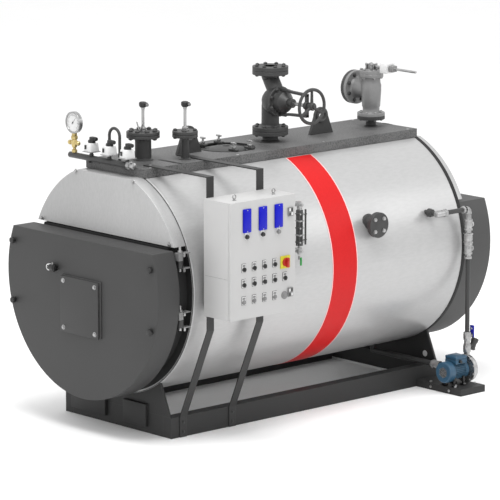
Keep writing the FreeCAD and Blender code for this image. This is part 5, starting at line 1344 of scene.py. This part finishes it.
# white bar along the tray's rear edge: a painted highlight of the light catching that edge
rimHighlight = [brick((trayLow.x, trayHigh.y - 0.005, trayHigh.z - 0.001),
              (trayHigh.x, trayHigh.y, trayHigh.z + 0.014), dialWhite,
              0.001)]
piece("trayRimHighlight", rimHighlight)
strapBolts = []
for name in ("cabinet_strap_front", "cabinet_strap_rear"):
    low, high = bounds(name)
    y = (low.y + high.y) / 2
    for z in (0.030, 0.085):
        strapBolts.append(hexNut((beamHigh.x + 0.006, y, z), "X", 0.014, 0.005, darkSteel))
    strapBolts.append(turned((low.x + 0.03, y, high.z), "Z", [(-0.001, 0.008), (0.002, 0.007), (0.002, 0)],
                             zinc, 16))
piece("strapBolts", strapBolts)
saddleLow = bounds("saddle_rear")[0]
saddleHole = {"x": 0.356, "z": 0.156, "radius": 0.018}
# white disc in the saddle hole: painted light of the bright backdrop seen through the hole
piece("saddleEyePaintedLight", [turned((saddleHole["x"], saddleLow.y - 0.0015, saddleHole["z"]), "Y",
                           [(0.0, 0.0), (0.0, saddleHole["radius"]), (0.0015, 0.0185)],
      dialWhite, 28)])
# dark joint line at the front end; at the rear a wide black ring painted as the shadow in the gap between the
# drum and the rear box
jointShadowRings = [
    turned((0, frontEnd - 0.0025, drumAxis), "Y", [(0.0, drumRadius - 0.004), (0.0, drumRadius - 0.0012),
           (0.0024, drumRadius - 0.0012)], paintedShadeBlack, 128),
    turned((0, rearEnd, drumAxis), "Y", [(-0.010, drumRadius - 0.001), (-0.009, drumRadius + 0.0035),
           (0.013, drumRadius + 0.0035), (0.013, drumRadius - 0.005)], paintedShadeBlack, 128),
]
piece("endJointShadows", jointShadowRings)
print("skid done")

def aimCamera():
    camData = bpy.data.cameras.new("shopCamera")
    camData.lens = view["lens"]
    camData.sensor_width = 36
    camData.clip_end = 100
    cam = bpy.data.objects.new("shopCamera", camData)
    bpy.context.scene.collection.objects.link(cam)
    back = Vector(view["toCamera"]).normalized()
    right = Vector((0, 0, 1)).cross(back).normalized()
    up = back.cross(right)
    turn = Matrix((right, up, back)).transposed().to_4x4()
    cam.matrix_world = Matrix.Translation(view["place"]) @ turn
    bpy.context.scene.camera = cam


view = {"place": (15.3917, -14.1127, 4.9170), "toCamera": (0.72459, -0.66234, 0.19047), "lens": 264.96}
aimCamera()
bpy.context.scene.view_settings.view_transform = "Standard"


def lamp(name, place, target, size, power):
    data = bpy.data.lights.new(name, "AREA")
    data.shape = "DISK"
    data.size = size
    data.energy = power
    obj = bpy.data.objects.new(name, data)
    bpy.context.scene.collection.objects.link(obj)
    obj.location = place
    obj.rotation_euler = (Vector(target) - Vector(place)).to_track_quat("-Z", "Y").to_euler()


lamp("keyLamp", (1.7, -1.8, 8.0), (0, 0, 0.8), 5.0, 440)
lamp("frontLamp", (-1.0, -8.0, 3.5), (0, 0, 0.8), 4.0, 40)
lamp("rearLamp", (4.5, 4.5, 4.0), (0, 0, 0.8), 3.0, 40)

bpy.ops.mesh.primitive_plane_add(size=60, location=(0, 0, -0.0006))
floor = bpy.context.object
floor.name = "studioFloor"
floor.data.materials.append(finish("floorPaint", {"dark": (0.97, 0.97, 0.97, 1),
                                                  "light": (0.99, 0.99, 0.99, 1), "blotch": 0.5,
                            "grain": 8, "rough": (0.7, 0.8), "bump": 0.0, "wear": 0.0}))

world = bpy.data.worlds.new("studioWorld")
bpy.context.scene.world = world
world.use_nodes = True
world.node_tree.nodes["Background"].inputs["Color"].default_value = (1, 1, 1, 1)
world.node_tree.nodes["Background"].inputs["Strength"].default_value = 1.0
print("stage done")
